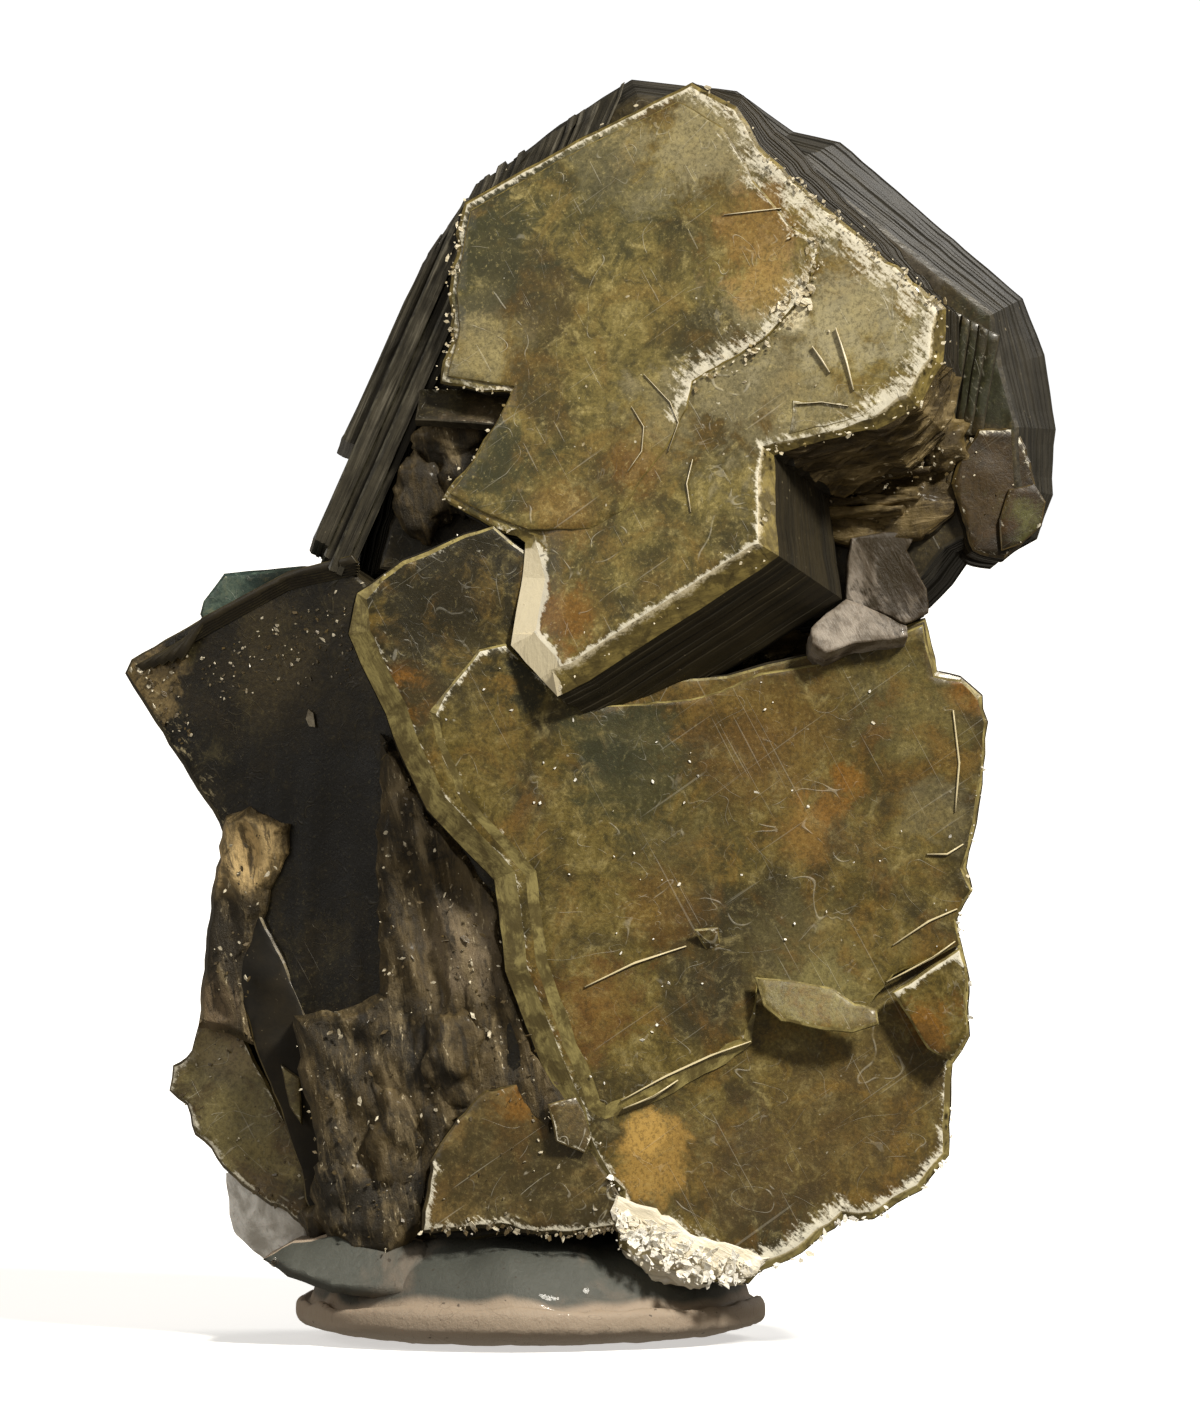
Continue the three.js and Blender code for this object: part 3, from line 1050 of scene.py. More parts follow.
    def shards_along(
        self, path: Sequence[Vector], normal: Vector, count: int, size: Corner, spread: float,
        tilt: float = 0.35,
    ) -> None:
        """Scatters flakes along a line.

        Args:
            path: the line's points.
            normal: the way that most flakes face.
            count: how many.
            size: smallest and largest radius.
            spread: how far they lie from the line.
            tilt: how much they are turned.
        """
        runs = [(b - a).length for a, b in zip(path, path[1:])]
        for _ in range(count):
            way = self.draw.uniform(0, sum(runs))
            i = 0
            while i < len(runs) - 1 and way > runs[i]:
                way -= runs[i]
                i += 1
            at = path[i].lerp(path[i + 1], min(1.0, way / max(runs[i], 1e-6)))
            self.strewn(at, normal, size, spread, tilt)

    def fray(
        self, outline: Outline, plane: Plane, wear: Sequence[Wear], size: Corner, spread: float,
        times: int = 1,
    ) -> None:
        """Scatters flakes along the worn edges of an outline.

        Args:
            outline: its corners.
            plane: the plane it is laid on.
            wear: its wear.
            size: smallest and largest radius.
            spread: how far they lie from the edge.
            times: how many times the wear's own number.
        """
        loop = plane.loop(outline)
        for worn in wear:
            for i in range(worn.first, worn.last):
                ends = (loop[i], loop[(i + 1) % len(loop)])
                count = times * int((ends[1] - ends[0]).length * worn.shards)
                self.shards_along(ends, plane.normal, count, size, spread)

    def strewn(self, at: Vector, normal: Vector, size: Corner, spread: float, tilt: float) -> None:
        """Adds one flake near a point, randomly placed and turned.

        Args:
            at: the point.
            normal: the way that most flakes face.
            size: smallest and largest radius.
            spread: how far it lies from the point.
            tilt: how much it is turned.
        """
        draw = self.draw
        aside = Vector((draw.gauss(0, 1), draw.gauss(0, 1), draw.gauss(0, 1))) * spread
        aside -= normal * aside.dot(normal) * 0.75
        lean = Vector((draw.gauss(0, 1), draw.gauss(0, 1), draw.gauss(0, 1))) * tilt
        radius = size[0] + (size[1] - size[0]) * draw.random() ** 2
        self.shard(at + aside, (normal + lean).normalized(), radius, draw.uniform(1.0, 2.2))

    def shards_over(
        self, corners: Outline, plane: Plane, count: int, size: Corner, tilt: float = 0.5,
        proud: float = 0.05,
    ) -> None:
        """Scatters flakes over an area of a plane.

        Args:
            corners: the area's corners.
            plane: the plane.
            count: how many.
            size: smallest and largest radius.
            tilt: how much they are turned.
            proud: how far they stand off the plane.
        """
        xs, zs = [c[0] for c in corners], [c[1] for c in corners]
        placed = 0
        while placed < count:
            spot = (self.draw.uniform(min(xs), max(xs)), self.draw.uniform(min(zs), max(zs)))
            if not inside(spot, corners):
                continue
            placed += 1
            at = plane.front(proud).lift(spot)
            self.strewn(at, plane.normal, size, 0.05, tilt)

    def lumps(self, places: Sequence[tuple[Triple, Triple]], rough: float, scale: float) -> None:
        """Adds rough lumps with a broken surface.

        Args:
            places: the middle of each, and half its size along x, y and z.
            rough: how far its surface wanders, as a share of its radius.
            scale: features a millimetre.
        """
        for middle, radii in places:
            centre = Vector(middle)
            verts = bmesh.ops.create_icosphere(self.bm, subdivisions=4, radius=1.0)["verts"]
            for vert in verts:
                place = centre + Vector(u * r for u, r in zip(vert.co, radii))
                bulge = noise.ridged_multi_fractal(place * scale, 0.9, 2.1, 5, 0.9, 2.0) - 0.9
                vert.co = centre + (place - centre) * (1.0 + rough * bulge)
            for face in {f for v in verts for f in v.link_faces}:
                face.material_index = Skin.BROKEN
                face.smooth = True

    def finish(self, materials: Sequence[bpy.types.Material]) -> bpy.types.Object:
        """Turns the mesh into an object in metres, with a material for each skin."""
        return finished(self.name, self.bm, materials)

    def finish_flakes(self, material: bpy.types.Material) -> bpy.types.Object:
        """Turns the loose flakes into an object of their own."""
        return finished(f"{self.name}_flakes", self.flakes(), (material,))


def finished(
    name: str, bm: bmesh.types.BMesh, materials: Sequence[bpy.types.Material]
) -> bpy.types.Object:
    """Turns a mesh in millimetres into an object in metres.

    Args:
        name: the object's name.
        bm: the mesh, which is used up.
        materials: its materials.

    Returns:
        The object.
    """
    bmesh.ops.recalc_face_normals(bm, faces=bm.faces[:])
    bmesh.ops.scale(bm, vec=(MM, MM, MM), verts=bm.verts[:])
    mesh = bpy.data.meshes.new(name)
    bm.to_mesh(mesh)
    bm.free()
    for material in materials:
        mesh.materials.append(material)
    piece = bpy.data.objects.new(name, mesh)
    bpy.context.scene.collection.objects.link(piece)
    return piece


def inside(spot: Corner, corners: Outline) -> bool:
    """Whether a spot is inside an outline.

    Args:
        spot: the spot.
        corners: the outline's corners.

    Returns:
        Whether it is.
    """
    x, z = spot
    hit = False
    for (ax, az), (bx, bz) in zip(corners, [*corners[1:], corners[0]]):
        if (az > z) != (bz > z) and x < (bx - ax) * (z - az) / (bz - az) + ax:
            hit = not hit
    return hit


def fit(piece: bpy.types.Object, triangles: dict[str, int], slot: str, node: str) -> None:
    """Ties a finished piece to the frame and reports it.

    Args:
        piece: the piece.
        triangles: tally of triangles by piece.
        slot: the record's material slot; not used.
        node: the CAD node it stands for.
    """
    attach(piece, "root")
    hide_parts(node)
    triangles[piece.name] = sum(len(p.vertices) - 2 for p in piece.data.polygons)
    log.info("%s: %d triangles", piece.name, triangles[piece.name])


# ---- the books ----

# The pale dusty colour below also stands for painted sheen on the upper face.
DUST_AND_SHEEN = linear(176, 164, 124)
OCHRE = linear(150, 112, 52)
RUST = linear(134, 90, 24)
SUN = linear(170, 138, 76)
BOTTLE = linear(50, 56, 36)
MOSS = linear(92, 92, 48)
UMBER = linear(84, 66, 36)


@dataclass
class UpperBook:
    """The upper book with its big notched six-sided face."""

    plane: Plane = Plane(-10.0, (-0.3, 0.22), (7.0, 47.0))
    back: Plane = Plane(1.5, (-0.3, 0.22), (10.5, 44.5))
    front_outline: Outline = (
        (7.25, 62.6), (9.5, 61.4), (10.85, 59.0), (14.5, 55.75), (19.6, 51.4), (19.35, 48.75),
        (18.1, 46.75), (16.15, 45.6), (11.0, 44.4), (11.0, 39.6), (0.25, 32.6), (-1.85, 35.0),
        (-1.0, 40.0), (-3.25, 41.0), (-5.15, 42.1), (-3.35, 44.5), (-1.5, 47.25), (-5.25, 47.75),
        (-4.65, 50.5), (-4.75, 52.5), (-4.0, 56.75), (1.5, 59.75),
    )
    back_outline: Outline = (
        (7.9, 62.6), (9.9, 62.2), (12.1, 60.0), (16.8, 55.2), (20.5, 51.0), (20.4, 48.0),
        (19.8, 45.2), (18.2, 43.4), (14.2, 42.0), (14.85, 37.0), (4.1, 30.2), (1.0, 33.0),
        (1.5, 38.0), (-0.5, 39.0), (-2.5, 40.5), (-1.0, 43.0), (1.0, 46.5), (-3.0, 47.0),
        (-3.5, 50.5), (-3.6, 52.5), (-3.4, 57.0), (2.3, 60.2),
    )
    wear: tuple[Wear, ...] = (
        Wear(0, 2, 0.1, 0.85, 1.6, 1.0, 0.2, 0.2), Wear(2, 4, 0.25, 0.9, 3.4, 5.0, 0.15, 0.2),
        Wear(4, 5, 0.1, 1.0, 2.2, 2.0, 0.6, 0.8), Wear(5, 7, 0.1, 1.0, 2.4, 2.0, 0.6, 0.8, 0.0, 0.5),
        Wear(7, 8, 0.12, 0.85, 1.0, 2.0, 0.25, 0.3, 0.0, 0.6),
        Wear(8, 9, 0.08, 0.95, 0.4, 0.5, 0.5, 0.7), Wear(9, 10, 0.04, 1.0, 0.45, 0.5, 0.6, 1.0),
        Wear(10, 12, 0.03, 1.7, 0.35, 0.0, 1.35, 0.5, 1.5), Wear(12, 16, 0.2, 0.5, 0.8, 1.0, 0.1, 0.1),
        Wear(16, 17, 0.15, 0.8, 0.6, 2.0, 0.1, 0.1), Wear(17, 20, 0.3, 0.7, 1.4, 3.0, 0.2, 0.2),
        Wear(20, 22, 0.05, 0.95, 0.5, 0.3, 0.14, 0.14),
    )
    plateau: Outline = (
        (1.4, 59.2), (6.6, 61.7), (8.8, 60.4), (10.3, 57.8), (12.2, 55.4), (13.5, 54.6),
        (12.9, 52.2), (10.8, 49.8), (7.3, 47.8), (7.0, 46.5), (6.0, 44.6), (4.6, 42.8),
        (3.9, 41.4), (2.2, 40.6), (-0.8, 40.5), (-3.1, 41.4), (-4.7, 42.3), (-3.0, 44.7),
        (-1.5, 47.6), (-4.8, 48.1), (-4.2, 50.5), (-4.4, 52.5), (-3.7, 56.4),
    )
    corner_leaf: Outline = ((12.2, 46.9), (14.6, 46.8), (16.6, 46.9), (15.6, 46.0), (12.0, 45.2))
    face: Face = Face(
        "upper_face", dark=linear(58, 53, 25), mid=linear(124, 111, 58), gold=linear(130, 98, 40),
        gilding=0.45, haze=0.85, dust=0.6, scratches=0.4,
        stains=(
            # The pale stains on the right, with the paler one at (15.0, 51.8), are partly dust and
            # partly painted sheen, the broad highlight across the right of the face; the bottle green
            # stains on the left are painted shade, its darker side.
            Stain((12.0, 47.5), 5.0, DUST_AND_SHEEN, 0.4),
            Stain((15.0, 51.8), 4.2, linear(206, 196, 160), 0.4), Stain((8.0, 60.0), 3.4, DUST_AND_SHEEN, 0.6),
            Stain((3.5, 59.3), 2.8, DUST_AND_SHEEN, 0.35), Stain((-3.0, 49.4), 2.6, DUST_AND_SHEEN, 0.4),
            Stain((6.0, 45.6), 2.6, DUST_AND_SHEEN, 0.3), Stain((10.6, 55.2), 2.6, OCHRE, 0.6),
            Stain((11.0, 52.6), 1.6, SUN, 0.7), Stain((12.3, 51.2), 0.9, linear(232, 220, 184), 0.9),
            Stain((-0.5, 52.5), 3.0, UMBER, 0.4), Stain((2.5, 57.0), 3.5, BOTTLE, 0.4),
            Stain((-3.0, 54.5), 3.2, BOTTLE, 0.6), Stain((1.2, 36.2), 2.0, RUST, 0.7),
            Stain((4.5, 43.8), 2.0, RUST, 0.45), Stain((1.0, 41.5), 2.0, OCHRE, 0.4),
            Stain((-2.5, 44.0), 2.6, BOTTLE, 0.5),
        ),
    )
    rim: Rim = Rim(
        "upper_rim", body=linear(140, 124, 68), deep=linear(88, 76, 38), pale=linear(232, 220, 188)
    )
    side: Edges = Edges(
        "upper_edges", dark=linear(27, 23, 12), mid=linear(48, 41, 24), sheen=linear(76, 68, 48),
        painted_sheen_share=0.2,
    )

    def build(self) -> Mould:
        """Makes the book with its raised sheets, scratches and frayed rims."""
        mould = Mould("upper_book", 11)
        middle = Plane(-5.6, self.plane.lean, (10.3, 45.0))
        loops = [
            self.plane.loop(self.front_outline),
            middle.loop(between(self.front_outline, self.back_outline, 0.95)),
            self.back.loop(self.back_outline),
        ]
        mould.stack(loops, Stack(46, 0.55, 0.04, 0.07, 0.5, wear=self.wear))
        step = (
            Wear(0, 2, 0.06, 0.3, 0.3, 0.0, 0.06, 0.05), Wear(2, 6, 0.1, 0.75, 0.9, 0.0, 0.08, 0.06),
            Wear(6, 9, 0.12, 0.95, 2.2, 0.0, 0.08, 0.06), Wear(9, 14, 0.08, 0.2, 0.4, 0.0, 0.05, 0.05),
        )
        mould.leaf(self.plateau, self.plane.front(0.14), 0.3, step, 0.1)
        corner = (Wear(0, 5, 0.1, 0.7, 0.6, 0.0, 0.08, 0.08),)
        mould.leaf(self.corner_leaf, self.plane.front(0.08), 0.3, corner)
        for width, line in (
            (0.1, ((14.3, 50.45), (14.8, 48.9), (15.15, 47.4))),
            (0.09, ((13.15, 49.55), (13.6, 48.9), (14.0, 48.25))),
            (0.05, ((8.85, 56.05), (10.2, 56.2), (11.65, 56.35))),
            (0.04, ((4.1, 43.4), (4.8, 44.4), (4.9, 45.6), (4.3, 46.6))),
            (0.05, ((7.2, 41.4), (7.0, 42.8), (7.3, 44.0))),
            (0.04, ((4.9, 48.2), (6.2, 46.8), (6.6, 45.8), (6.1, 44.4))),
            (0.04, ((12.3, 46.7), (13.6, 46.8), (14.9, 46.6))),
        ):
            mould.sliver(line, self.plane.front(0.1), width)
        bright_tip = ((11.2, 51.4), (12.9, 53.2), (13.3, 52.2), (12.0, 50.6))
        mould.shards_over(bright_tip, self.plane.front(0.14), 40, (0.05, 0.24), 0.4, 0.06)
        mould.fray(self.front_outline, self.plane.front(0.1), self.wear, (0.03, 0.12), 0.2, 2)
        steps = [self.plane.front(0.2).lift(c) for c in self.plateau[4:9]]
        mould.shards_along(steps, self.plane.normal, 110, (0.03, 0.13), 0.3, 0.2)
        mould.shards_over(self.front_outline, self.plane, 60, (0.03, 0.09), 0.25, 0.1)
        return mould


@dataclass
class CrownBook:
    """The wide book behind the upper one, whose rim is the top of the cluster."""

    front: Outline = (
        (-3.2, 57.0), (1.0, 60.1), (4.6, 62.2), (8.8, 61.6), (10.9, 59.4), (12.4, 58.9),
        (22.2, 51.2), (22.6, 48.6), (23.4, 45.6), (23.6, 42.6), (23.0, 40.9), (21.4, 40.4),
        (19.8, 39.6), (17.6, 37.2), (12.0, 36.0), (0.75, 37.5), (-8.2, 38.6), (-5.8, 47.5),
    )
    brow: Outline = (
        (-3.65, 57.4), (0.75, 60.75), (4.35, 63.0), (9.6, 62.45), (12.4, 60.35), (14.75, 59.85),
        (23.75, 52.0), (24.85, 49.2), (25.35, 45.5), (25.25, 42.25), (24.4, 40.1), (22.75, 39.2),
        (21.25, 39.1), (19.2, 36.6), (12.75, 34.5), (0.75, 35.5), (-9.6, 37.2), (-7.4, 47.5),
    )
    rear: Outline = (
        (-4.4, 55.6), (-0.4, 58.8), (3.4, 61.2), (8.6, 60.9), (11.6, 59.3), (13.8, 58.6),
        (22.0, 51.4), (22.9, 48.6), (23.6, 45.4), (23.4, 42.4), (22.6, 40.4), (21.2, 39.2),
        (19.8, 38.2), (17.2, 35.6), (11.5, 32.8), (0.4, 33.8), (-9.0, 36.6), (-7.6, 47.0),
    )
    ledge: Outline = (
        (-6.2, 47.5), (-2.0, 47.6), (-1.2, 47.2), (-2.4, 45.7), (-4.4, 45.9), (-6.4, 46.0),
    )
    face: Face = Face(
        "crown_face", dark=linear(32, 28, 16), mid=linear(62, 53, 32), gold=linear(70, 58, 32),
        gilding=0.3, haze=0.12, dust=0.15, scratches=0.15, frost=0.5, shift=(40.0, 10.0),
        stains=(
            # The two grey stains at (16.5, 55.6) and (12.0, 59.5) are partly the band's own grey brown
            # and partly painted sheen, its purple grey reflection.
            Stain((16.5, 55.6), 5.0, linear(78, 71, 60), 0.9),
            Stain((12.0, 59.5), 3.0, linear(60, 56, 50), 0.9),
            Stain((21.2, 48.5), 3.4, linear(50, 52, 33), 0.8),
            Stain((-3.5, 45.0), 2.4, linear(92, 78, 58), 0.7),
        ),
    )
    rim: Rim = Rim(
        "crown_rim", body=linear(70, 64, 50), deep=linear(40, 36, 26), pale=linear(150, 138, 112)
    )
    side: Edges = Edges(
        "crown_edges", dark=linear(25, 23, 17), mid=linear(51, 47, 37), sheen=linear(92, 86, 74),
        lines=1.6, painted_sheen_share=0.3,
    )

    def plane(self, y: float) -> Plane:
        """The plane of the book's sheets at a depth."""
        return Plane(y, (-0.12, 0.1), (10.0, 48.0))

    def build(self) -> Mould:
        """Makes the book and the steeper sheets along the left of its top."""
        mould = Mould("crown_book", 23)
        loops = [
            self.plane(-4.6).loop(self.front), self.plane(-1.0).loop(self.brow),
            self.plane(4.5).loop(between(self.brow, self.rear, 0.35)),
            self.plane(9.0).loop(self.rear),
        ]
        wear = (Wear(8, 13, 0.2, 0.2, 0.5), Wear(13, 17, 0.2))
        plain = Wear(0, 0, 0.05, 0.25, 0.2, 0.0, 0.15, 0.15)

        def ribs(at: Vector) -> float:
            """Upright ribs on the right of the book's face."""
            share = max(0.0, min(1.0, (at.x - 17.0) / 2.0))
            return 0.45 * share * noise.noise(Vector((at.x * 1.9, 2.0, at.z * 0.08)))

        mould.stack(loops, Stack(60, 0.8, 0.05, 0.12, 0.5, relief=ribs, wear=wear, plain=plain))
        for i in range(6):
            x, head = 19.8 + 0.42 * i, 51.7 - 0.25 * i
            foot, width = 45.0 + mould.draw.uniform(-0.5, 0.8), mould.draw.uniform(0.45, 0.7)
            strip = ((x, head), (x + width, head - 0.3), (x + width - 0.9, foot), (x - 0.9, foot))
            rib = self.plane(-4.75 - mould.draw.uniform(0.0, 0.25))
            worn = (Wear(1, 2, 0.04, 0.5 if i % 3 == 1 else 0.0, 0.1, 0.0, 0.06, 0.06),)
            mould.sheet(strip, rib, 0.9, Stack(2, 0.8, 0.03, 0.05, 0.6, wear=worn))
        rear = self.plane(9.0)
        chipped = (Wear(3, 8, 0.25, 0.8, 0.6, 0.0, 0.1, 0.1), Wear(12, 16, 0.2, 0.6, 0.5, 0.0, 0.1, 0.1))
        for rise, dx, dz, grow in ((0.35, 1.2, -0.6, 0.7), (0.6, -2.0, 1.5, 0.36)):
            patch = rear.front(-rise).loop(shifted(self.rear, dx, dz, grow))[::-1]
            sunk = [p + rear.normal * 0.6 for p in patch]
            mould.stack([patch, sunk], Stack(2, 0.6, 0.05, 0.1, 0.8, wear=chipped))
        mould.leaf(self.ledge, Plane(-5.6, (-0.1, 0.9), (-3.5, 46.5)), 0.5)
        lumps = (
            ((-4.4, -4.4, 45.2), (2.2, 0.8, 1.6)), ((-3.6, -4.6, 43.0), (1.6, 0.7, 1.8)),
            ((-6.0, -4.2, 42.2), (1.4, 0.7, 2.2)),
        )
        mould.lumps(lumps, 0.35, 0.6)
        return mould


@dataclass
class BladeBook:
    """Narrow sheets at the left of the top, seen on edge."""

    top: Vector = field(default_factory=lambda: Vector((-3.7, 0.0, 57.5)))
    down: Vector = field(default_factory=lambda: Vector((-0.405, 0.0, -0.914)))
    out: Vector = field(default_factory=lambda: Vector((-0.914, 0.0, 0.405)))
    face: Face = Face(
        "blade_face", dark=linear(32, 31, 20), mid=linear(60, 56, 40), gilding=0.1, haze=0.2, dust=0.2
    )
    rim: Rim = Rim(
        "blade_rim", body=linear(84, 80, 64), deep=linear(38, 35, 26), pale=linear(170, 164, 148)
    )
    # Its painted sheen is the bright lines along the blade's edges.
    side: Edges = Edges(
        "blade_edges", dark=linear(24, 22, 16), mid=linear(74, 69, 56), sheen=linear(170, 164, 148),
        lines=2.2, painted_sheen_share=0.9, rough=0.3, coat=0.4,
    )

    def loop(self, outline: Outline, across: float) -> list[Vector]:
        """An outline of [distance down, depth] at a distance across the sheets."""
        base = self.top + self.out * across
        return [base + self.down * along + Vector((0, depth, 0)) for along, depth in outline]

    def build(self) -> Mould:
        """Makes the bundles of sheets, each a little shorter than the last."""
        mould = Mould("blade_book", 37)
        bundles = (
            (0.05, 0.72, 4.6, 0.9, 14.8, -3.4), (-0.75, 0.08, 0.6, 0.2, 19.9, -4.3),
            (-1.25, -0.72, 1.0, 0.8, 20.5, -3.7), (-1.95, -1.2, 1.8, 1.5, 21.0, -4.4),
            (-2.35, -1.9, 2.6, 2.2, 21.2, -3.8),
        )
        for inner, outer, tip, head, foot, front in bundles:
            loops = []
            for across, top in ((outer, tip), (inner, head)):
                outline = (
                    (top, front + 0.5), (top + 1.2, front), (foot - 0.8, front + 0.4), (foot, 0.6),
                    (foot - 2.0, 7.8), (top + 3.0, 7.2), (top - 0.2, 2.8),
                )
                loops.append(self.loop(outline, across))
            mould.stack(loops, Stack(5, 0.7, 0.06, 0.04, 1.2))
        steep = []
        for across, head in ((-0.1, -0.2), (-2.6, -4.1), (-5.0, -7.9)):
            outline = ((head, -3.0), (head + 6.0, -3.2), (head + 9.0, 3.4), (head + 1.2, 3.8))
            steep.append(self.loop(outline, across))
        mould.stack(steep, Stack(26, 0.7, 0.16, 0.05, 1.2))
        return mould


@dataclass
class LowerBook:
    """The large lower book, with sheets broken back in steps on its face."""

    plane: Plane = Plane(-8.4, (0.1, 0.02), (8.0, 20.0))
    outline: Outline = (
        (-8.8, 37.65), (-6.95, 38.95), (-3.9, 40.3), (-2.5, 40.7), (-0.5, 39.0), (-0.5, 35.0),
        (2.0, 32.9), (9.0, 33.3), (14.5, 34.7), (18.85, 36.1), (19.4, 33.5), (20.6, 33.2),
        (21.65, 32.3), (21.9, 31.0), (21.7, 28.6), (21.35, 26.0), (20.8, 23.8), (21.2, 22.7),
        (20.4, 21.3), (20.9, 19.0), (21.0, 15.5), (20.15, 14.1), (19.95, 9.6), (18.6, 7.9),
        (16.3, 6.5), (14.8, 6.5), (12.75, 4.75), (10.0, 3.5), (7.9, 3.3), (5.2, 4.2),
        (3.75, 5.2), (3.6, 7.8), (2.75, 10.5), (0.75, 15.0), (-0.75, 19.0), (-1.3, 23.5),
        (-4.65, 26.95), (-6.05, 30.0), (-6.65, 31.7), (-7.55, 33.5), (-8.5, 35.65),
    )
    top_sheet: Outline = (
        (-5.7, 31.6), (-4.5, 33.0), (-3.2, 34.6), (-1.9, 34.9), (0.75, 32.5), (2.75, 31.8),
        (7.25, 32.15), (8.85, 32.6), (10.75, 33.4), (13.5, 33.9), (16.8, 35.0), (18.7, 35.8),
        (19.3, 33.3), (20.6, 33.05), (21.55, 32.2), (21.8, 31.0), (21.6, 28.6), (21.25, 26.0),
        (20.7, 23.8), (21.1, 22.7), (20.3, 21.3), (20.6, 20.0), (17.2, 18.6), (16.4, 17.5),
        (15.6, 16.5), (13.5, 16.3), (11.5, 17.3), (10.6, 18.4), (10.3, 15.2), (9.0, 14.2),
        (7.0, 13.2), (5.2, 12.2), (3.0, 11.4), (2.2, 11.9), (0.95, 15.0), (-0.55, 19.0),
        (-1.1, 23.4), (-4.4, 26.95), (-5.7, 30.0),
    )
    side_sheet: Outline = (
        (17.2, 17.7), (20.5, 19.9), (20.8, 19.0), (20.9, 15.5), (20.1, 14.3), (18.9, 14.9),
    )
    flap: Outline = (
        (10.4, 18.5), (12.4, 18.3), (14.2, 18.0), (15.3, 17.2), (16.4, 16.9), (16.5, 16.2),
        (15.2, 15.8), (13.4, 16.0), (11.7, 16.4), (10.8, 17.1),
    )
    foot: Outline = (
        (3.5, 7.1), (4.8, 6.6), (6.2, 6.0), (7.6, 5.2), (9.4, 4.8), (10.8, 4.3),
        (10.2, 3.7), (8.6, 3.4), (7.0, 3.6), (5.4, 4.2), (4.3, 5.0), (3.6, 6.0),
    )
    small_chip: Outline = ((7.4, 20.8), (8.6, 20.9), (8.75, 19.9), (8.0, 19.8))
    wear: tuple[Wear, ...] = (
        Wear(0, 2, 0.06, 0.5, 0.4, 0.5, 0.2, 0.2), Wear(2, 10, 0.1, 0.1, 0.3),
        Wear(10, 16, 0.12, 0.6, 0.5, 1.0, 0.3, 0.3), Wear(16, 20, 0.2, 0.8, 0.6, 2.0, 0.2, 0.2),
        Wear(20, 22, 0.1, 0.7, 0.6, 1.0, 0.3, 0.3), Wear(22, 25, 0.2, 0.95, 1.0, 5.0, 0.35, 0.5),
        Wear(25, 28, 0.35, 1.05, 1.6, 6.0, 0.4, 0.7), Wear(28, 30, 0.35, 1.5, 2.6, 5.0, 0.5, 0.7, 1.0),
        Wear(30, 32, 0.2, 0.8, 0.5, 3.0, 0.4, 0.6), Wear(32, 41, 0.05, 0.6, 0.4, 0.2, 1.1, 1.6),
    )
    face: Face = Face(
        "lower_face", dark=linear(50, 43, 19), mid=linear(102, 88, 38), gold=linear(122, 88, 30),
        pale=linear(240, 235, 216), gilding=0.5, haze=0.45, dust=0.26, scratches=0.26,
        shift=(13.0, -22.0),
        stains=(
            Stain((4.5, 29.5), 3.4, BOTTLE, 0.6), Stain((7.0, 25.0), 3.5, linear(66, 62, 34), 0.45),
            Stain((11.0, 30.0), 4.0, linear(112, 84, 34), 0.5), Stain((14.9, 28.2), 1.1, RUST, 0.7),
            Stain((14.0, 26.9), 1.2, RUST, 0.5), Stain((13.0, 25.6), 1.8, OCHRE, 0.5),
            Stain((6.0, 22.0), 2.2, RUST, 0.25), Stain((20.9, 32.6), 1.2, RUST, 0.7),
            Stain((19.0, 16.2), 1.3, RUST, 0.75), Stain((-6.6, 32.8), 1.3, RUST, 0.9),
            # Painted shadow: the dark stain at (-4.4, 37.2) is the shade under the upper book, and the
            # dark green one at (-1.2, 33.0) the shadow of the upper book's tip.
            Stain((-4.4, 37.2), 4.6, linear(27, 24, 9), 0.9),
            Stain((-4.0, 33.5), 2.4, linear(66, 58, 30), 0.5),
            Stain((-1.2, 33.0), 1.5, linear(20, 24, 13), 0.85), Stain((19.0, 27.0), 2.0, DUST_AND_SHEEN, 0.2),
            Stain((13.6, 17.3), 2.4, linear(138, 130, 80), 0.6), Stain((15.0, 11.5), 5.5, UMBER, 0.5),
            Stain((9.0, 9.0), 3.6, UMBER, 0.4), Stain((5.4, 9.3), 2.0, linear(170, 134, 66), 0.7),
            Stain((4.9, 10.8), 1.0, linear(196, 158, 84), 0.6),
            Stain((2.5, 17.0), 2.4, linear(116, 76, 30), 0.45),
            Stain((18.0, 31.0), 3.0, linear(112, 102, 58), 0.5),
            Stain((13.0, 20.0), 3.0, linear(122, 112, 70), 0.35),
        ),
    )
    rim: Rim = Rim("lower_rim", body=linear(160, 147, 92), deep=linear(98, 86, 48))
    side: Edges = Edges("lower_edges", pale=linear(170, 160, 112), painted_sheen_share=0.4)
    bevel: float = 1.15

    def flank(self) -> list[Corner]:
        """The outline behind the bevel on the left."""
        out = list(self.outline)
        for i in (0, *range(32, 41)):
            x, z = out[i]
            out[i] = (x - self.bevel * (0.35 if i == 0 else 1.0), z - 0.25)
        return out

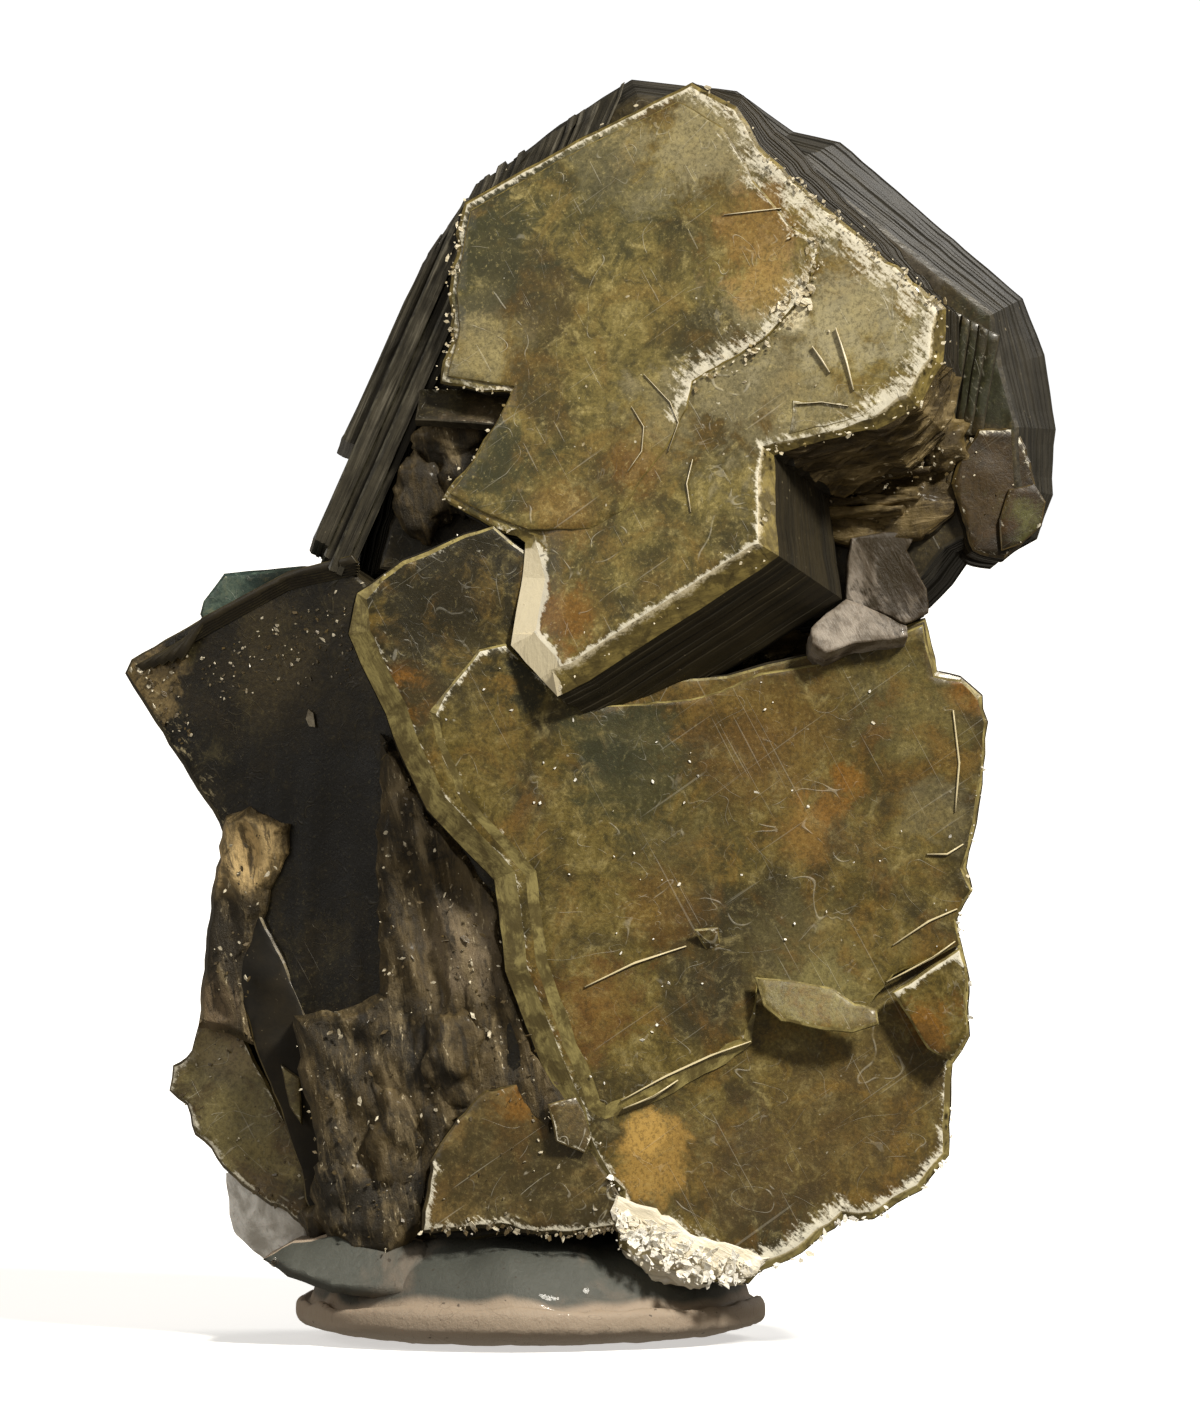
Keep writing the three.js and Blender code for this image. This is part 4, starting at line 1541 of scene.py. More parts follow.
    def build(self) -> Mould:
        """Makes the book, its steps, the lifted flap, scratches and the frayed foot."""
        mould = Mould("lower_book", 51)
        lean, at = self.plane.lean, self.plane.at
        flank = self.flank()
        loops = [
            self.plane.loop(flank), Plane(-6.6, lean, at).loop(flank),
            Plane(-1.5, lean, at).loop(shifted(flank, -0.3, -0.2, 0.98)),
            Plane(4.0, lean, at).loop(shifted(flank, -1.2, -0.2, 0.9)),
        ]
        mould.stack(loops, Stack(48, 0.7, 0.07, 0.07, 0.5, wear=self.wear))
        raised = Plane(self.plane.y - 0.4, (0.08, 0.02), at)
        wear = (
            Wear(0, 4, 0.1, 0.8, 0.5, 0.0, 0.1, 0.08), Wear(4, 11, 0.06, 0.1, 0.2, 0.0, 0.06, 0.05),
            Wear(11, 21, 0.1, 0.4, 0.4, 0.0, 0.1, 0.1), Wear(21, 28, 0.15, 0.2, 0.3, 0.0, 0.08, 0.08),
            Wear(28, 39, 0.1, 0.4, 0.4, 0.0, 0.75, 0.3),
        )
        cut = Stack(4, 0.6, 0.05, 0.09, 0.5, side=Skin.RIM, wear=wear)
        mould.sheet(self.top_sheet, raised, 0.6, cut)
        plate = (Wear(0, 2, 0.06, 1.1, 0.4, 0.0, 0.1, 0.1), Wear(2, 6, 0.1, 0.5, 0.4, 0.0, 0.1, 0.1))
        mould.leaf(self.side_sheet, Plane(raised.y - 0.1, (0.0, -0.06), (19.0, 17.0)), 0.6, plate)
        lifted = Plane(raised.y - 0.5, (0.1, 0.3), (13.0, 18.0))
        bright = Wear(4, 10, 0.05, 0.45, 0.5, 0.0, 0.12, 0.06)
        mould.leaf(self.flap, lifted, 0.2, (Wear(0, 4, 0.05, 0.2, 0.3, 0.0, 0.12, 0.06), bright))
        mould.leaf(self.small_chip, Plane(raised.y - 0.25, (0.3, -0.4), (8.0, 20.4)), 0.12)
        for line in (
            ((3.8, 12.4), (6.0, 13.6), (8.2, 14.6), (10.2, 15.3)),
            ((3.9, 12.0), (5.4, 12.6), (6.6, 13.4)), ((17.2, 20.0), (19.0, 21.2), (20.4, 21.8)),
            ((16.9, 18.2), (19.2, 19.4), (20.3, 20.2)), ((2.0, 18.0), (4.5, 19.2), (7.0, 20.0)),
            ((18.9, 24.5), (19.9, 24.5), (20.7, 25.0)), ((20.2, 31.6), (20.5, 29.0), (20.3, 26.6)),
        ):
            mould.sliver(line, raised, 0.1)
        mould.fray(self.outline, self.plane.front(0.3), self.wear, (0.03, 0.14), 0.1)
        for i in range(8):
            outline = shifted(self.foot, 0.3 - 0.1 * i, 0.5 - 0.2 * i, 1.08 - 0.05 * i)
            lean = (0.1 + mould.draw.uniform(-0.05, 0.05), 0.12 + mould.draw.uniform(-0.1, 0.1))
            top = Plane(-8.95 + 0.24 * i, lean, (7.0, 5.0))
            worn = (Wear(0, 12, 0.45, 1.0, 1.0, 0.0, 0.12, 0.08),)
            cut = Stack(3, 0.35, 0.1, 0.25, 0.35, wear=worn, **clad(Skin.SHARD))
            mould.sheet(outline, top, 0.5, cut)
        mould.shards_over(self.foot, self.plane, 120, (0.03, 0.12), 0.2, 0.7)
        foot = Plane(-9.15, (0.1, 0.12), (7.0, 5.0))
        mould.shards_over(self.foot, foot, 150, (0.08, 0.34), 0.7, 0.12)
        mould.shards_over(self.top_sheet, raised, 60, (0.03, 0.09), 0.25, 0.06)
        return mould


@dataclass
class LeftBook:
    """The dark book at the left, turned away, with fine lamellae along its top edge."""

    plane: Plane = Plane(-4.6, (-0.5, 0.0), (-8.0, 20.0))
    outline: Outline = (
        (-21.15, 33.3), (-20.8, 34.0), (-17.3, 36.0), (-12.8, 38.4), (-9.9, 38.7), (-9.0, 37.8),
        (-8.2, 37.0), (-0.25, 36.0), (-0.6, 17.0), (0.0, 10.0), (-0.2, 6.2), (-5.75, 4.8),
        (-7.5, 4.2), (-10.75, 4.4), (-12.0, 8.0), (-13.0, 11.5), (-14.1, 17.0), (-14.9, 22.0),
        (-16.3, 25.9), (-18.2, 28.7), (-20.3, 31.9),
    )
    rear: Outline = (
        (-18.7, 32.2), (-18.4, 33.1), (-14.8, 34.8), (-11.0, 36.4), (-6.75, 38.0), (-3.0, 38.6),
        (1.0, 39.5), (6.5, 36.0), (7.6, 17.0), (8.6, 9.5), (8.0, 5.2), (-3.0, 4.0),
        (-5.0, 3.8), (-9.0, 4.0), (-10.0, 7.5), (-11.0, 11.0), (-12.0, 17.0), (-12.9, 21.5),
        (-14.3, 25.4), (-15.9, 27.8), (-17.9, 30.8),
    )
    wear: tuple[Wear, ...] = (
        Wear(0, 1, 0.12, 0.75, 2.6, 2.0, 0.2, 0.2), Wear(1, 5, 0.05, 0.3, 0.3, 0.0, 0.1, 0.1),
        Wear(18, 21, 0.12, 0.6, 2.2, 2.0, 0.2, 0.2),
    )
    face: Face = Face(
        "left_face", dark=linear(13, 10, 3), mid=linear(32, 26, 9), gold=linear(46, 35, 12),
        pale=linear(190, 176, 138), gilding=0.3, haze=0.1, dust=0.12, scratches=0.08,
        shift=(-8.0, 15.0),
        stains=(
            Stain((-13.0, 33.5), 3.6, linear(66, 56, 32), 0.6),
            Stain((-8.5, 35.5), 3.0, linear(54, 46, 26), 0.6),
            Stain((-20.0, 32.8), 2.2, linear(136, 116, 76), 0.8),
            # Painted shade: the very dark stain at (-11.0, 25.0) darkens the lower part of the face
            # where it lies in shadow.
            Stain((-11.0, 25.0), 5.5, linear(12, 9, 3), 0.9),
        ),
        coat=0.0,
    )
    rim: Rim = Rim(
        "left_rim", body=linear(74, 66, 40), deep=linear(40, 34, 18), pale=linear(196, 180, 138)
    )
    side: Edges = Edges("left_edges", painted_sheen_share=0.5)

    def build(self) -> Mould:
        """Makes the book with its vertical ribs and the thin sheets on its top edge."""
        mould = Mould("left_book", 67)
        loops = [
            self.plane.loop(self.outline),
            Plane(2.0, self.plane.lean, self.plane.at).loop(between(self.outline, self.rear, 0.5)),
            Plane(8.4, (-0.2, 0.05), (-5.0, 20.0)).loop(self.rear),
        ]

        def ribs(at: Vector) -> float:
            """Upright ribs on the lower part of the book's face."""
            low = max(0.0, min(1.0, (31.0 - at.z) / 5.0))
            wide = noise.noise(Vector((at.x * 1.1, 3.0, at.z * 0.06)))
            narrow = noise.noise(Vector((at.x * 3.3, 9.0, at.z * 0.1)))
            return 0.35 * low * (wide + 0.4 * narrow)

        mould.stack(loops, Stack(44, 0.7, 0.08, 0.06, 0.5, relief=ribs, wear=self.wear))
        for i in range(5):
            rise = 0.14 * i
            lean = Plane(self.plane.y - 0.1 - 0.1 * i, self.plane.lean, self.plane.at)
            strip = (
                (-20.6 + 0.5 * i, 33.7 + rise), (-17.2, 35.55 + rise), (-12.8, 37.9 + rise),
                (-9.6, 38.7 + rise), (-9.3, 38.3 + rise), (-12.8, 37.5 + rise), (-17.1, 35.15 + rise),
                (-20.2 + 0.5 * i, 33.4 + rise),
            )
            worn = (Wear(0, 8, 0.02, 0.5 if i % 2 else 0.1, 0.1, 0.0, 0.05, 0.05),)
            cut = Stack(2, 0.7, 0.03, 0.02, 1.5, face=Skin.SIDE, wear=worn)
            mould.sheet(strip, lean, 0.25, cut)
        speckled = ((-18.5, 34.5), (-9.0, 38.0), (-9.3, 33.0), (-16.5, 32.0))
        mould.shards_over(speckled, self.plane, 150, (0.03, 0.09), 0.3, 0.05)
        tip = ((-20.9, 33.6), (-18.9, 34.4), (-17.6, 30.0), (-18.6, 29.8))
        mould.shards_over(tip, self.plane, 60, (0.04, 0.16), 0.3, 0.05)
        mould.shard(self.plane.front(0.15).lift((-11.7, 31.1)), self.plane.normal, 0.35, 2.0)
        return mould


@dataclass
class Roots:
    """The broken root of the cluster: a rough fracture, thin plates and a dark twisted strip."""

    fracture: Outline = (
        (-8.3, 30.5), (-7.6, 30.2), (-5.2, 26.2), (-2.2, 22.6), (-1.6, 19.0), (-0.2, 15.0),
        (1.4, 12.2), (0.3, 10.5), (-2.0, 12.4), (-4.2, 11.0), (-5.4, 8.6), (-5.8, 6.0),
        (-7.6, 4.3), (-10.2, 4.5), (-11.2, 9.0), (-12.2, 13.2), (-12.6, 16.4), (-9.6, 16.8),
        (-8.3, 17.6),
    )
    olive_plate: Outline = (
        (-4.3, 11.45), (-2.9, 12.85), (-1.35, 13.2), (0.95, 12.7), (1.9, 11.0), (2.9, 9.0),
        (3.9, 7.45), (3.75, 6.2), (0.95, 5.7), (-2.2, 6.05), (-6.05, 5.85), (-5.7, 9.35),
    )
    corner_plate: Outline = (
        (-17.1, 16.9), (-15.2, 15.3), (-12.4, 10.05), (-11.7, 7.95), (-11.85, 5.7), (-14.5, 7.25),
        (-16.2, 8.6), (-17.6, 10.2), (-18.1, 11.6), (-18.85, 12.4), (-18.7, 13.6), (-17.8, 14.4),
    )
    column: Outline = (
        (-16.2, 26.2), (-15.0, 26.6), (-13.1, 25.8), (-13.2, 23.9), (-14.2, 22.0), (-15.0, 18.4),
        (-14.4, 14.6), (-16.0, 15.4), (-17.7, 15.5), (-17.3, 19.0), (-16.9, 22.6),
    )
    dark_strip: Outline = (
        (-15.2, 23.2), (-12.75, 18.5), (-11.2, 14.0), (-9.95, 11.45), (-9.6, 7.5), (-9.9, 4.6),
        (-11.4, 4.8), (-12.2, 8.6), (-13.2, 11.6), (-14.5, 14.6), (-15.55, 18.5),
    )
    flake: Outline = ((-13.2, 13.9), (-12.2, 13.2), (-12.1, 10.9), (-12.75, 11.8))
    clear_flake: Outline = ((0.2, 12.2), (1.6, 12.6), (2.6, 11.0), (2.0, 9.8), (0.6, 10.4))
    face: Face = Face(
        "root_face", dark=linear(54, 45, 22), mid=linear(102, 86, 48), gold=linear(112, 84, 38),
        gilding=0.4, haze=0.45, dust=0.25, scratches=0.45, shift=(4.0, 55.0),
        stains=(
            Stain((-1.2, 12.2), 1.6, RUST, 0.7), Stain((-1.0, 9.0), 3.6, linear(62, 54, 28), 0.5),
            Stain((-15.6, 14.4), 1.6, linear(150, 128, 96), 0.5),
            Stain((-15.2, 11.2), 3.6, linear(150, 138, 88), 0.5),
        ),
    )
    rim: Rim = Rim("root_rim", body=linear(104, 90, 52), deep=linear(60, 50, 26))
    side: Edges = Edges(
        "root_edges", dark=linear(16, 13, 6), mid=linear(36, 29, 14), sheen=linear(58, 50, 32),
        painted_sheen_share=0.3, rough=0.6, coat=0.02,
    )

    def build(self) -> Mould:
        """Makes the fracture, the plates and their flakes."""
        mould = Mould("root_books", 83)
        plane = Plane(-7.2, (-0.28, 0.03), (-5.0, 16.0))

        def rough(at: Vector) -> float:
            """Long ridges that lean a little."""
            place = Vector((at.x * 0.5 + at.z * 0.12, 1.0, at.z * 0.16))
            return 0.7 * (noise.ridged_multi_fractal(place, 0.9, 2.2, 5, 0.9, 2.0) - 0.8)

        rugged = {"relief": rough, **clad(Skin.BROKEN)}
        worn = (Wear(0, 19, 0.3, 0.0, 0.1, 0.0, 0.5, 0.7),)
        cut = Stack(10, 0.5, 0.12, 0.0, 0.32, wear=worn, **rugged)
        back = [p + Vector((0.5, 6.0, 0.0)) for p in plane.loop(self.fracture)]
        mould.stack([plane.loop(self.fracture), back], cut)
        olive = Plane(-8.6, (-0.12, 0.06), (-1.0, 9.0))
        foot = (Wear(7, 11, 0.2, 0.95, 0.6, 0.0, 0.2, 0.2), Wear(0, 4, 0.12, 0.3, 0.4))
        mould.sheet(self.olive_plate, olive, 5.0, Stack(14, 0.5, 0.08, 0.08, 0.5, wear=foot))
        corner = Plane(-1.0, (-0.45, 0.05), (-14.0, 14.0))
        worn = (Wear(4, 11, 0.25, 0.8, 0.6, 0.0, 0.2, 0.2), Wear(0, 2, 0.1, 0.7, 0.4))
        mould.sheet(self.corner_plate, corner, 5.5, Stack(16, 0.5, 0.08, 0.2, 0.45, wear=worn))
        worn = (Wear(0, 11, 0.25, 0.0, 0.8, 0.0, 0.5, 0.6),)
        bark = Stack(8, 0.5, 0.1, 0.0, 0.35, wear=worn, **rugged)
        mould.sheet(self.column, Plane(-2.0, (-0.5, 0.0), (-15.0, 20.0)), 5.5, bark)
        worn = (Wear(0, 11, 0.12, 0.3, 0.1, 0.0, 0.1, 0.1),)
        strip = Stack(8, 0.5, 0.12, 0.4, 0.4, face=Skin.SIDE, wear=worn)
        mould.sheet(self.dark_strip, Plane(-2.6, (-0.3, 0.05), (-13.0, 14.0)), 4.0, strip)
        mould.leaf(self.flake, Plane(-3.2, (-0.3, 0.1), (-12.6, 12.4)), 0.2)
        mould.leaf(self.clear_flake, Plane(-9.2, (0.15, 0.1), (1.4, 11.4)), 0.2, pale=0.8)
        lumps = (
            ((-9.2, -4.6, 7.4), (2.2, 1.8, 3.2)), ((-7.2, -6.0, 10.8), (1.6, 1.3, 3.4)),
            ((-11.0, -2.6, 6.0), (1.2, 1.6, 1.8)), ((-4.4, -7.6, 14.6), (1.6, 1.0, 2.6)),
        )
        mould.lumps(lumps, 0.35, 0.5)
        mould.shards_over(self.fracture, plane, 420, (0.02, 0.13), 0.7, 0.3)
        core = shifted(self.column, 0.3, 0.0, 0.8)
        mould.shards_over(core, Plane(-2.2, (-0.5, 0.0), (-15.0, 20.0)), 50, (0.03, 0.12), 0.4, 0.1)
        mould.shards_over(self.corner_plate, corner, 40, (0.03, 0.12), 0.3, 0.06)
        mould.shards_over(self.olive_plate, olive, 40, (0.03, 0.1), 0.3, 0.06)
        foot_line = [olive.front(0.1).lift(c) for c in self.olive_plate[7:11]]
        mould.shards_along(foot_line, olive.normal, 90, (0.04, 0.18), 0.12)
        return mould


@dataclass
class RightRecess:
    """What stands in the notch at the right: a plate, a ledge and rough broken sheets."""

    plate: Outline = (
        (21.55, 45.4), (22.6, 45.6), (23.3, 45.5), (23.75, 44.9), (24.15, 43.9), (24.3, 42.4),
        (24.7, 41.9), (24.6, 40.85), (23.6, 39.7), (22.75, 39.1), (21.9, 39.2), (21.2, 39.5),
        (20.7, 41.0), (20.15, 42.8), (20.6, 44.3),
    )
    ledge: Outline = (
        (13.2, 41.2), (16.4, 42.3), (19.4, 42.6), (20.4, 41.4), (19.0, 40.4), (15.0, 40.0),
        (13.4, 40.2),
    )
    spur: Outline = (
        (23.0, 42.5), (24.2, 42.8), (24.8, 41.9), (24.6, 40.7), (23.6, 39.8), (22.6, 39.5),
        (22.5, 41.0),
    )
    wall: Outline = (
        (11.4, 44.6), (14.5, 45.4), (17.0, 46.4), (19.6, 47.4), (21.3, 46.4), (20.9, 43.6),
        (20.2, 41.4), (18.6, 40.2), (15.0, 39.8), (12.6, 40.4), (11.6, 41.6),
    )
    face: Face = Face(
        "recess_face", dark=linear(28, 20, 4), mid=linear(54, 40, 9), gold=linear(76, 50, 8),
        haze=0.0, dust=0.05, scratches=0.08, shift=(70.0, 4.0), coat=0.0,
        stains=(
            Stain((23.8, 41.2), 1.4, MOSS, 0.8), Stain((22.0, 42.6), 2.2, linear(66, 47, 10), 0.5),
            Stain((16.5, 41.5), 3.5, linear(56, 50, 25), 0.9),
        ),
    )
    rim: Rim = Rim("recess_rim", body=linear(96, 80, 44), deep=linear(52, 42, 22))
    side: Edges = Edges("recess_edges", painted_sheen_share=0.35)

    def build(self) -> Mould:
        """Makes the plate, the ledge and the broken sheets above it."""
        mould = Mould("recess_books", 97)
        plane = Plane(-7.0, (0.15, 0.12), (22.0, 42.0))
        worn = (Wear(0, 4, 0.2, 0.8, 0.5), Wear(4, 12, 0.12, 0.5, 0.4))
        mould.sheet(self.plate, plane, 4.5, Stack(14, 0.4, 0.08, 0.2, 0.4, wear=worn))
        cut = Stack(10, 0.4, 0.1, 0.15, 0.4, wear=(Wear(0, 7, 0.2, 0.3, 0.3),))
        mould.sheet(self.ledge, Plane(-6.5, (-0.1, 0.5), (16.0, 41.0)), 3.0, cut)

        def layers(at: Vector) -> float:
            """Level ledges that wander and crumble."""
            level = at.z * 1.7 + 0.4 * at.x + 1.5 * noise.noise(at * 0.3)
            ledges = noise.noise(Vector((at.x * 0.3, 5.0, level)))
            return 0.8 * ledges + 0.4 * noise.fractal(at, 0.8, 2.1, 4)

        rugged = clad(Skin.BROKEN)
        back = Plane(-6.3, (-0.1, 0.25), (16.0, 43.0))
        mould.sheet(self.wall, back, 2.0, Stack(4, 0.5, 0.1, 0.1, 0.28, relief=layers, **rugged))
        for i in range(9):
            level, start = 41.2 + 0.48 * i, mould.draw.uniform(11.6, 14.0)
            end = mould.draw.uniform(16.0, 19.5)
            shelf = (
                (start, level + 0.3), ((start + end) / 2, level + 0.55), (end, level + 0.6),
                (end - 0.2, level + 0.25), ((start + end) / 2, level + 0.1), (start + 0.1, level - 0.1),
            )
            tier = back.front(mould.draw.uniform(0.3, 1.2))
            worn = (Wear(0, 6, 0.2, 0.3, 0.2, 0.0, 0.06, 0.06),)
            mould.sheet(shelf, tier, 1.6, Stack(3, 0.35, 0.1, 0.1, 0.3, wear=worn, **rugged))
        mould.leaf(self.spur, plane.front(0.3), 1.2)
        lumps = (
            ((19.8, -6.4, 44.9), (1.3, 1.2, 1.6)), ((20.4, -5.6, 43.0), (1.2, 1.2, 1.4)),
            ((18.6, -6.6, 46.0), (1.6, 1.0, 0.9)), ((19.6, -3.0, 39.9), (2.0, 1.6, 1.6)),
            ((11.0, -2.4, 35.8), (6.0, 2.6, 2.4)),
        )
        mould.lumps(lumps, 0.4, 0.6)
        upper = Plane(-6.6, (-0.2, 0.4), (18.0, 43.5))
        broken = ((12.0, 44.0), (19.0, 46.4), (21.4, 45.2), (20.0, 42.4), (12.0, 41.6))
        mould.shards_over(broken, upper, 170, (0.02, 0.12), 0.6, 1.6)
        mould.shards_over(self.plate, plane, 10, (0.03, 0.08), 0.35, 0.06)
        return mould


@dataclass
class BackBooks:
    """The rear book and the small blue green book behind the left book's top edge."""

    rear: Outline = (
        (-7.0, 33.0), (-4.0, 38.5), (3.0, 41.0), (11.5, 39.5), (16.5, 35.0), (17.5, 27.0),
        (16.0, 17.0), (12.5, 9.5), (6.0, 6.0), (-1.0, 6.5), (-5.5, 11.0), (-7.5, 21.0),
    )
    teal: Outline = (
        (-17.35, 36.25), (-17.2, 36.9), (-16.15, 38.25), (-13.05, 38.55), (-12.0, 38.6),
        (-11.0, 36.5), (-13.0, 34.0), (-16.4, 34.2),
    )
    face: Face = Face(
        "rear_face", dust=0.3, scratches=0.35, shift=(90.0, 30.0),
        stains=(
            Stain((10.0, 30.0), 4.0, OCHRE, 0.5), Stain((0.0, 18.0), 3.0, BOTTLE, 0.5),
            Stain((6.0, 12.0), 2.4, RUST, 0.6), Stain((2.0, 33.0), 3.4, DUST_AND_SHEEN, 0.35),
        ),
    )
    rim: Rim = Rim("rear_rim")
    side: Edges = Edges("rear_edges")
    # The blue green of the small book's face, rim and side is partly the sheets' own tint and partly
    # painted light shining through them.
    teal_face: Face = Face(
        "teal_face", dark=linear(44, 58, 54), mid=linear(92, 110, 98), gold=linear(112, 122, 104),
        dust=0.15, scratches=0.15,
    )
    teal_rim: Rim = Rim("teal_rim", body=linear(90, 110, 98), deep=linear(40, 56, 52))
    teal_side: Edges = Edges(
        "teal_edges", dark=linear(28, 40, 38), mid=linear(70, 88, 80), sheen=linear(120, 140, 130),
    )

    def build_rear(self) -> Mould:
        """Makes the rear book, with raised sheets on its back."""
        mould = Mould("rear_book", 113)
        plane = Plane(1.0, (0.2, -0.1), (5.0, 23.0))
        behind = Plane(9.5, (0.2, -0.1), (3.3, 23.85))
        back = behind.loop(shifted(self.rear, -1.7, 0.85, 0.9))
        wear = (Wear(4, 8, 0.2, 0.5, 0.6), Wear(8, 12, 0.15))
        loops = [back[::-1], plane.loop(self.rear)[::-1]]
        mould.stack(loops, Stack(40, 0.8, 0.08, 0.1, 0.7, wear=wear))
        steps = (
            (0.6, 2.0, 3.0, 0.25), (0.35, -2.5, -3.0, 0.45), (0.24, 3.4, 6.0, 0.5),
            (0.16, 2.2, -7.4, 0.3),
        )
        for share, dx, dz, rise in steps:
            outline = shifted(self.rear, -1.7 + dx, 0.85 + dz, 0.9 * share)
            top = [p - plane.normal * rise for p in behind.loop(outline)][::-1]
            low = [p + plane.normal * 0.2 for p in behind.loop(outline)][::-1]
            mould.stack([top, low], Stack(3, 0.6, 0.06, 0.05, 0.8, wear=(Wear(0, 6, 0.12, 0.7, 0.5),)))
        return mould

    def build_teal(self) -> Mould:
        """Makes the small blue green book."""
        mould = Mould("teal_book", 127)
        cut = Stack(14, 0.5, 0.06, 0.05, 0.5)
        mould.sheet(self.teal, Plane(2.2, (-0.1, 0.0), (-14.0, 36.0)), 4.0, cut)
        return mould


@dataclass
class Holder:
    """The pad of putty, and the two grains of other minerals."""

    chamfer: float = 0.12
    longest: float = 0.35
    mound: float = 2.9
    level: float = 1.45
    bulge: float = 1.5
    crease: float = 0.4
    crease_at: float = 0.94
    putty: Putty = Putty()
    feldspar: Grain = Grain(
        "feldspar", linear(156, 146, 134), linear(94, 84, 71),
        stains=(
            # The dark stains over the column are partly its brown colour and partly painted shade, where
            # the cluster shades it.
            Stain((17.9, 37.8), 2.2, linear(38, 27, 9), 0.9),
            Stain((16.9, 39.8), 2.6, linear(44, 34, 14), 0.9),
            Stain((18.6, 36.4), 0.9, linear(38, 27, 9), 0.8),
        ),
    )
    quartz: Grain = Grain("quartz", linear(244, 242, 238), linear(188, 184, 176), rough=0.28)
    shaded_wedge: Outline = (
        (-14.1, 4.3), (-12.6, 5.0), (-9.4, 5.6), (-6.0, 5.2), (-4.6, 3.4), (-7.0, 2.4), (-10.6, 2.7),
        (-12.8, 3.5),
    )
    base: Outline = (
        (13.1, 35.7), (14.0, 36.4), (14.9, 37.1), (16.4, 36.5), (17.9, 35.8), (17.9, 35.3),
        (16.6, 35.1), (15.4, 35.0), (13.9, 34.5), (13.2, 35.0),
    )
    column: Outline = (
        (15.2, 40.1), (16.6, 40.4), (18.3, 40.4), (17.9, 39.5), (18.4, 38.5), (18.95, 37.6),
        (19.0, 36.4), (17.8, 35.9), (16.5, 36.5), (14.9, 36.6), (15.0, 38.8),
    )
    quartz_corners: tuple[Triple, ...] = (
        (-16.1, 1.2, 8.3), (-14.3, -0.7, 8.2), (-12.2, -1.9, 6.4), (-11.6, -1.4, 4.2),
        (-13.6, 0.0, 3.5), (-15.7, 1.0, 5.2), (-15.0, 4.6, 7.8), (-12.8, 4.2, 6.2), (-13.4, 4.4, 4.0),
    )

    def quartz_grain(self) -> Mould:
        """Makes the quartz: a block with bevelled edges and a slightly rough surface."""
        mould = Mould("quartz_grain", 5)
        bm = mould.bm
        hull = bmesh.ops.convex_hull(bm, input=[bm.verts.new(c) for c in self.quartz_corners])
        edges = [g for g in hull["geom"] if isinstance(g, bmesh.types.BMEdge)]
        bmesh.ops.bevel(
            bm, geom=edges, offset=self.chamfer, segments=2, profile=0.5, affect="EDGES",
            offset_type="OFFSET", material=-1, clamp_overlap=True,
        )
        bmesh.ops.triangulate(bm, faces=bm.faces[:])
        for _ in range(3):
            long = [e for e in bm.edges if e.calc_length() > self.longest]
            bmesh.ops.subdivide_edges(bm, edges=long, cuts=1, use_grid_fill=True)
        bmesh.ops.triangulate(bm, faces=bm.faces[:])
        for vert in bm.verts:
            away = noise.fractal(vert.co * 1.2 + Vector((5.0, 0.0, 0.0)), 0.8, 2.1, 4) * 0.07
            vert.co += vert.normal * away
        return mould

    def feldspar_grain(self) -> Mould:
        """Makes the feldspar: a flat wedge below and a furrowed column above it."""
        mould = Mould("feldspar_grain", 3)

        def furrows(at: Vector) -> float:
            """Upright furrows on a rounded face."""
            bend = at.x + 0.35 * math.sin((at.z - 36.0) * 0.7)
            return 0.35 * noise.noise(Vector((bend * 1.7, 1.0, at.z * 0.2))) - 0.1 * (at.x - 16.8) ** 2

        skins = clad(Skin.FACE)
        plain = Wear(0, 0, 0.1, 0.0, 0.1, 0.0, 0.05, 0.05)
        column = Stack(6, 0.4, 0.03, 0.05, 0.3, relief=furrows, plain=plain, **skins)
        mould.sheet(self.column, Plane(-7.4, (0.1, 0.1), (17.0, 38.0)), 3.4, column)
        wedge = Stack(5, 0.4, 0.04, 0.2, 0.3, plain=plain, **skins)
        mould.sheet(self.base, Plane(-8.9, (0.1, 0.45), (15.5, 35.7)), 2.6, wedge)
        return mould

    def pad(self) -> Mould:
        """Makes the pad of putty: a pressed lump with a lip, a crease and a flat base."""
        low, high = (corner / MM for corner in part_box("mounting_putty"))
        mould = Mould("mounting_putty_pad", 139)
        middle, half = (low + high) / 2, (high - low) / 2
        verts = bmesh.ops.create_icosphere(mould.bm, subdivisions=6, radius=1.0)["verts"]
        for vert in verts:
            self.press(vert, mould, middle, half, low.z)
        # round_off's full pale share gives the wedge sheet the putty's painted shade through the wear
        # attribute.
        round_off = Wear(0, 0, 0.12, 1.0, 60.0, 0.0, 0.5, 0.6, 1.0)
        cut = Stack(5, 0.5, 0.05, 0.25, 0.4, plain=round_off, **clad(Skin.FACE))
        front = Plane(-7.4, (-0.15, 0.5), (-9.0, 3.4)).loop(self.shaded_wedge)
        mould.stack([front, [p + Vector((0.6, 5.5, 0.2)) for p in front]], cut)
        for face in mould.bm.faces:
            face.smooth = True
        return mould

